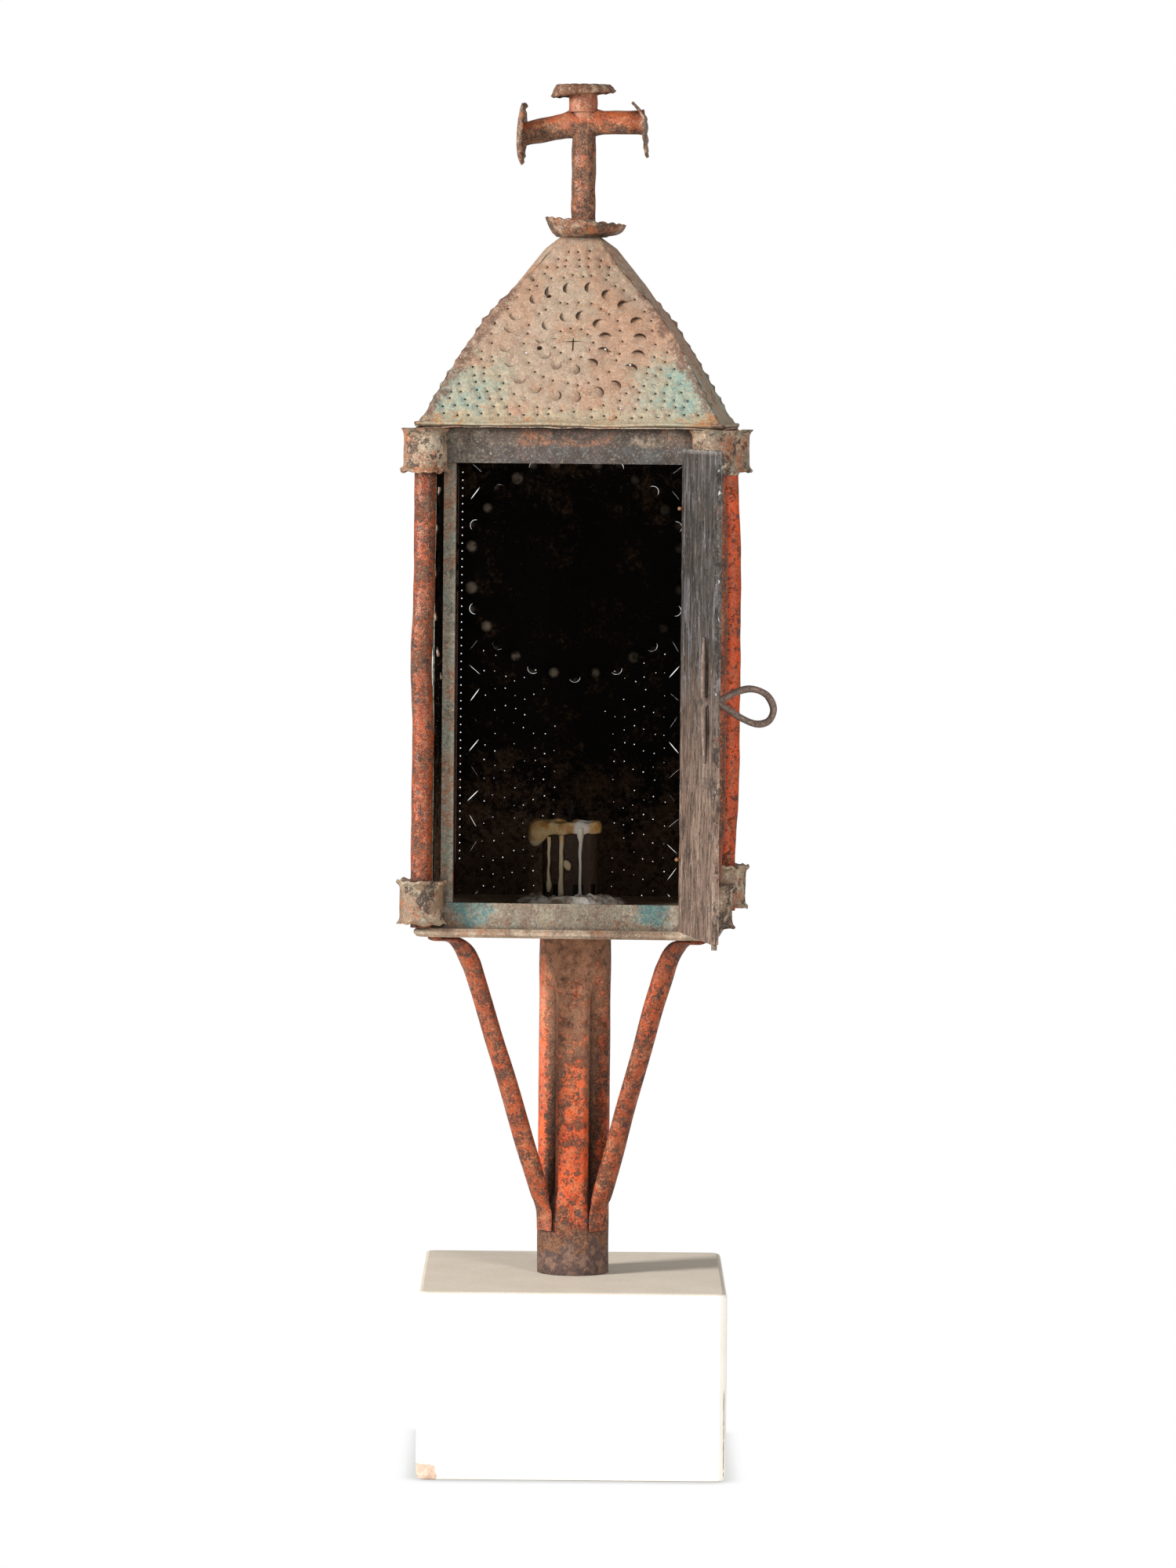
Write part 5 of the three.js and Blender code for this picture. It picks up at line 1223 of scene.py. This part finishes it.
def ruffles():
    """The dish under the cross, and the crimped discs on its ends."""

    def dish_frame(across, up, out):
        rim = ease(15 * MM, 26 * MM, math.hypot(across, up))
        return (across + 2.6 * MM * rim, up, DISH_FOOT + out - across * 0.09 * rim)

    def dish_shape(share, across, up):
        foot = -0.6 * MM * (1 - ease(0, 0.12, share))
        return foot + 9.0 * MM * (0.25 * share + 0.75 * share**2.6)

    def top_frame(across, up, out):
        return (across + (CROSS_X_MM - 0.4) * MM, up, min(872.9 * MM, 872.7 * MM + out))

    def top_shape(share, across, up):
        return -(5.4 - across / (11 * MM)) * MM * ease(0.8, 1.0, share)

    def left_frame(across, up, out):
        return (LEFT_TIP_MM[0] * MM - out, across, (LEFT_TIP_MM[2] + 0.6) * MM - up)

    def left_shape(share, across, up):
        wave = 1.2 * MM * share**3 * ripple(across, up, 0, 9 * MM)
        return wave + 1.2 * MM - 3.4 * MM * share**3 + up * 0.04

    def right_frame(across, up, out):
        fold = max(0.0, up - 6 * MM)
        return ((RIGHT_TIP_MM[0] + 1.2) * MM + out, -across, 847.5 * MM + up - fold * 0.26)

    def right_shape(share, across, up):
        over = max(0.0, up - 5 * MM) / (15 * MM)
        under = max(0.0, -up) / (20 * MM)
        return (-9.0 * over**1.25 + 1.6 * under**2) * MM

    ruffle("frill_dish", 26.4 * MM, 21, dish_frame, dish_shape, "scalloped_dish", 5, 16.2 * MM, 1.6 * MM)
    ruffle("frill_top", 21.2 * MM, 15, top_frame, top_shape, "rosette_top", 6, crimp_depth=1.0 * MM)
    ruffle("frill_left", 19.8 * MM, 15, left_frame, left_shape, "rosette_left", 7)
    ruffle("frill_right", 20.6 * MM, 15, right_frame, right_shape, "rosette_right", 8)


# Cornice, door and candle


def cornice():
    """The thin plate under the roof, its edge wavy and its corners curled down."""
    steps = 40
    edge = CORNICE_HALF
    rings = [(edge, 1), (edge - 1 * MM, 0.7), (edge - 3 * MM, 0.3), (edge - 9 * MM, 0)]
    rings.append((CORNICE_OPENING_HALF, 0))

    def place(ring, i):
        reach, curl = rings[ring]
        turn = Matrix.Rotation(FULL_TURN * (i // steps) / 4, 3, "Z")
        share = 2 * (i % steps) / steps - 1
        tip = abs(share) ** 10
        flat = turn @ Vector((reach * share, -reach, 0))
        wave = ripple(flat.x, flat.y, 0, 11 * MM)
        drop = curl * (0.7 * MM * wave - 1.6 * MM * tip * (1 + wave))
        flat *= 1 + curl * 0.006 * wave - 0.012 * tip * curl
        return (flat.x, flat.y, CORNICE_HEIGHT + drop)

    skin("cornice_sheet", grid(place, len(rings) - 1, 4 * steps), "cornice_plate", CORNICE_TIN)


def on_door(x, y, z):
    """A place on the shut door, carried to where the door stands open in the picture."""
    return HINGE + Matrix.Rotation(DOOR_OPEN, 3, "Z") @ Vector((x, y, 0)) + Vector((0, 0, z))


def door_board():
    """The board, its faces raised along the grain, its top chipped and its edges worn."""
    across, deep, rows = 46, 5, 110
    outline = [(i / across, 0) for i in range(across)] + [(1, i / deep) for i in range(deep)]
    outline += [(1 - i / across, 1) for i in range(across)] + [(0, 1 - i / deep) for i in range(deep)]

    def place(row, i):
        u, v = outline[i]
        low = DOOR_FOOT + DOOR_FOOT_SLOPE * u
        chip = max(0, ripple(u * DOOR_WIDTH, 0, 0, 7 * MM)) * 2.2 * MM
        chip += max(0, ripple(u * DOOR_WIDTH, 5, 0, 2.5 * MM)) * 0.8 * MM
        z = low + (DOOR_TOP - chip - low) * row / rows
        x = DOOR_HINGE_SIDE + (DOOR_FREE_SIDE - DOOR_HINGE_SIDE) * u
        y = DOOR_OUTER + (DOOR_INNER - DOOR_OUTER) * v
        grain = noise.fractal(Vector((x / (5 * MM), v * 7, z / (60 * MM))), 0.7, 2, 4) * 0.16 * MM
        worn = 0.5 * MM * (1 + ripple(u * 3, v * 3, z / (14 * MM), 1))
        at_end = (abs(u - 0.5) - 0.5) * DOOR_WIDTH > -0.6 * MM
        if at_end:
            x += (worn + ripple(v * 4, 0, z / (5 * MM), 1) * 0.3 * MM) * (1 if u > 0.5 else -1)
        at_face = v in (0, 1)
        if at_face:
            y += (grain - 0.25 * MM + (-worn * 0.6 if at_end else 0)) * (1 if v else -1)
        return on_door(x, y, z)

    massive("door_wood", grid(place, rows, len(outline)), "door_board")


# How far out of the board, up from the pull's middle and aside the wire runs, in mm
PULL_LOOP_MM = (
    (1, 0.5, 0.6), (6, 2.6, 0.8), (13, 6.3, 0.4), (22, 8.0, 0), (31, 4.4, 0), (35.3, -3.8, 0),
    (32.5, -11.2, 0), (25, -13.2, -0.2), (15.5, -9.6, -0.4), (7, -4.2, -0.8), (1, -0.8, -0.6),
)
PULL_PRONGS_MM = {
    "upper": (
        (1.5, 0, 1.4), (-3, 0.5, 1.6), (-6.8, 2.5, 1.7), (-7.3, 9, 1.8), (-7.2, 22, 1.9), (-7.1, 39, 1.6)
    ),
    "lower": (
        (1.5, 0, -1.4), (-3, -0.5, -1.6), (-6.8, -2.5, -1.7),
        (-7.3, -8, -2.2), (-7.2, -20, -3), (-7.1, -37, -4.4),
    ),
}


def door_wires():
    """The pull, its two ends clinched over the inner face."""

    def wire(name, path, reach):
        x, y, z = PULL_AT_MM
        bends = [on_door((x + side) * MM, (y - out) * MM, (z + rise) * MM) for out, rise, side in path]
        massive(name, rod_rows(through(bends, 7), reach), "door_pull")

    wire("pull_loop_wire", PULL_LOOP_MM, lambda share: (2.15 + 0.12 * math.sin(share * 31)) * MM)
    for name, path in PULL_PRONGS_MM.items():
        wire(
            f"pull_prong_{name}", path,
            lambda share: (1.75 - 0.8 * ease(0.8, 1, share) + 0.2 * ease(0.3, 0.5, share)) * MM,
        )


WAX_COLUMNS = 72


def wax_rim():
    """Wax round the socket's rim with a blob at the left."""
    top, reach = CANDLE_SOCKET_TOP, CANDLE_SOCKET_REACH
    rim = []
    for i in range(WAX_COLUMNS):
        angle = FULL_TURN * i / WAX_COLUMNS
        around = (math.cos(angle) * 2, math.sin(angle) * 2)
        blob = max(0, math.cos(angle - math.radians(186))) ** 6
        lump = 1 + 0.5 * ripple(*around, 0, 0.8)
        edge = reach + 2.6 * MM * lump + 7 * MM * blob
        hang = top - (3.4 + 1.6 * ripple(*around, 3, 0.6)) * MM - 9.5 * MM * blob
        crest = top + (5.6 + 2.2 * ripple(*around, 6, 0.7)) * MM + 1.2 * MM * blob
        inner = reach - 1.6 * MM
        section = [(reach, hang + 1.5 * MM), ((reach + edge) / 2, hang), (edge - 0.4 * MM, hang + 2.2 * MM)]
        section += [(edge, (hang + crest) / 2), (edge - 0.7 * MM, crest - 2.2 * MM)]
        section.append(((edge + inner) / 2, crest))
        section += [(inner - 1 * MM, crest - 1.6 * MM), (inner, top + 0.4 * MM), (reach, top + 0.4 * MM)]
        rim.append([(CANDLE_X + out * math.cos(angle), out * math.sin(angle), z) for out, z in section])
    smooth(massive("rim_wax", rim, "wax_rim", is_loop=True))


# Direction in degrees, top and bottom in mm, and the run's radius in mm at shares of its length
WAX_RUNS = (
    (229, 395, 360.0, ((0, 1.3), (0.3, 1.0), (0.6, 0.8), (0.75, 1.2), (0.88, 1.9), (0.95, 1.5), (1, 0.7))),
    (257, 396, 353.6, ((0, 1.6), (0.25, 1.3), (0.45, 1.5), (0.6, 1.3), (0.75, 1.7), (0.9, 1.9), (1, 2.4))),
    (294, 401, 353.6, ((0, 2.4), (0.1, 2.2), (0.2, 1.2), (0.5, 0.9), (0.8, 0.95), (0.95, 1.4), (1, 1.9))),
)


def wax_runs():
    """Three runs down the socket, and a knob on one of them."""
    for number, (degrees, top, bottom, widths) in enumerate(WAX_RUNS):
        angle = math.radians(degrees)
        path = []
        for i in range(26):
            z = (top + (bottom - top) * i / 25) * MM
            out = CANDLE_SOCKET_REACH + 1.1 * MM + 0.4 * MM * ripple(number, 0, z, 8 * MM)
            aside = 0.6 * MM * ripple(0, number, z, 9 * MM)
            path.append(Vector((CANDLE_X + out * math.cos(angle) + aside, out * math.sin(angle), z)))

        def width(share):
            for (a, low), (b, high) in zip(widths, widths[1:]):
                if share <= b:
                    return (low + (high - low) * ease(a, b, share)) * MM
            return widths[-1][1] * MM

        massive(f"wax_run_{number + 1}", rod_rows(path, width), "wax_rim")
    left = CANDLE_X - 1.6 * MM
    knob = [Vector((left + 0.4 * MM * i, -20.2 * MM, (380.5 - 0.9 * i) * MM)) for i in range(8)]

    def bulge(share):
        return (0.4 + 2.0 * math.sin(math.pi * min(1, share * 0.97 + 0.03)) ** 0.7) * MM

    massive("wax_knob", rod_rows(knob, bulge), "wax_rim")


def wax_pool():
    """The lumps of wax on the floor."""
    rings = 16

    def place(ring, i):
        share = ring / rings
        angle = FULL_TURN * i / WAX_COLUMNS
        lobes = 0.72 + math.sin(3 * angle + 1) / 8 + math.sin(5 * angle) / 8
        lobes += 0.12 * ripple(math.cos(angle) * 3, math.sin(angle) * 3, 9, 1)
        out = CANDLE_SOCKET_REACH + 21 * MM * lobes * share
        x, y = CANDLE_X + out * math.cos(angle), out * math.sin(angle)
        lumps = 1 + 0.9 * ripple(x, y, 0, 6 * MM) + 0.35 * ripple(x, y, 4, 3 * MM)
        height = 6.0 * MM * (1 - share**3) ** 0.7 * lumps * (0.7 + 0.3 * math.cos(angle + 1.2) ** 2)
        return (x, y, CHAMBER_FLOOR + max(0.0, height) + 0.2 * MM)

    pool = grid(place, rings, WAX_COLUMNS)
    underside = [[(x, y, CHAMBER_FLOOR) for x, y, _ in row] for row in (pool[0], pool[-1])]
    smooth(massive("floor_wax", [*reversed(pool), *underside], "wax_pool", is_loop=True))


def wick():
    bends = ((0, 403.8), (-0.6, 409), (1, 413), (0.4, 417.5))
    run = through([(CANDLE_X + aside * MM, 0, z * MM) for aside, z in bends], 8)
    rows = rod_rows(run, lambda share: (1.3 + 0.9 * math.sin(share * 21)) * MM * (1 - 0.4 * share), 10)
    massive("burnt_wick", rows, "candle_wick")


walls()
roof()
pole_socket()
for corner, (side, depth) in CORNERS.items():
    corner_post(corner, side, depth)
    for end in COLLAR_ENDS:
        collar(corner, side, depth, end)
brace(-1, "left")
brace(1, "right")
cross()
ruffles()
cornice()
door_board()
door_wires()
wax_rim()
wax_runs()
wax_pool()
wick()


# Stage


def place_on_stage(name, data):
    thing = bpy.data.objects.new(name, data)
    bpy.context.scene.collection.objects.link(thing)
    return thing


def soft_box(name, place, power, colour):
    light = bpy.data.lights.new(name, "AREA")
    light.shape = "RECTANGLE"
    light.size, light.size_y = LIGHT_WIDTH, LIGHT_HEIGHT
    light.energy = power
    light.color = colour
    holder = place_on_stage(name, light)
    holder.location = place
    holder.rotation_euler = (Vector(LIGHT_TARGET) - Vector(place)).to_track_quat("-Z", "Y").to_euler()
    holder.visible_camera = False


def studio_world():
    world = bpy.data.worlds.new("studio")
    bpy.context.scene.world = world
    f = Nodes(world)
    seen = f.add("Background", None, {"Color": "#ffffff"})
    lit = f.add("Background", None, {"Color": "#ffffff", "Strength": SKY_STRENGTH})
    f.seen_and_lit(seen, lit, "OutputWorld")


def pale_floor():
    f = Finish("pale_floor")
    shade = f.open_sky(FLOOR_SHADE_REACH, 8).rise(0.5, 1.0)
    seen = f.add("Emission", None, {"Color": f.between(shade, "#dcdcdb #ffffff")})
    f.seen_and_lit(seen, f.add("BsdfDiffuse", None, {"Color": "#dedcd8"}), "OutputMaterial")
    mesh = bpy.data.meshes.new("floor")
    corners = [(x * FLOOR_HALF, y * FLOOR_HALF, 0) for x, y in ((-1, -1), (1, -1), (1, 1), (-1, 1))]
    mesh.from_pydata(corners, [], [(0, 1, 2, 3)])
    mesh.materials.append(f.material)
    place_on_stage("floor", mesh)


def picture_camera():
    data = bpy.data.cameras.new("picture_camera")
    data.sensor_fit = "HORIZONTAL"
    data.sensor_width = SENSOR_WIDTH
    data.lens = SENSOR_WIDTH * CAMERA_LENS_PX / PICTURE_WIDTH_PX
    data.shift_x = AXIS_LEFT_OF_MIDDLE_PX / PICTURE_WIDTH_PX
    data.shift_y = -HORIZON_ABOVE_MIDDLE_PX / PICTURE_WIDTH_PX
    data.clip_end = 100
    camera = place_on_stage("picture_camera", data)
    camera.location = (
        CAMERA_DISTANCE * math.sin(CAMERA_AZIMUTH),
        -CAMERA_DISTANCE * math.cos(CAMERA_AZIMUTH),
        CAMERA_HEIGHT,
    )
    level = Euler((math.pi / 2, 0, CAMERA_AZIMUTH)).to_matrix()
    camera.rotation_euler = (level @ Matrix.Rotation(CAMERA_ROLL, 3, "Z")).to_euler()
    bpy.context.scene.camera = camera


studio_world()
pale_floor()
picture_camera()
soft_box("key_left", KEY_PLACE, KEY_POWER, (1.0, 0.98, 0.95))
soft_box("fill_right", FILL_PLACE, FILL_POWER, (1.0, 0.98, 0.96))

bpy.context.scene.view_settings.view_transform = "Standard"
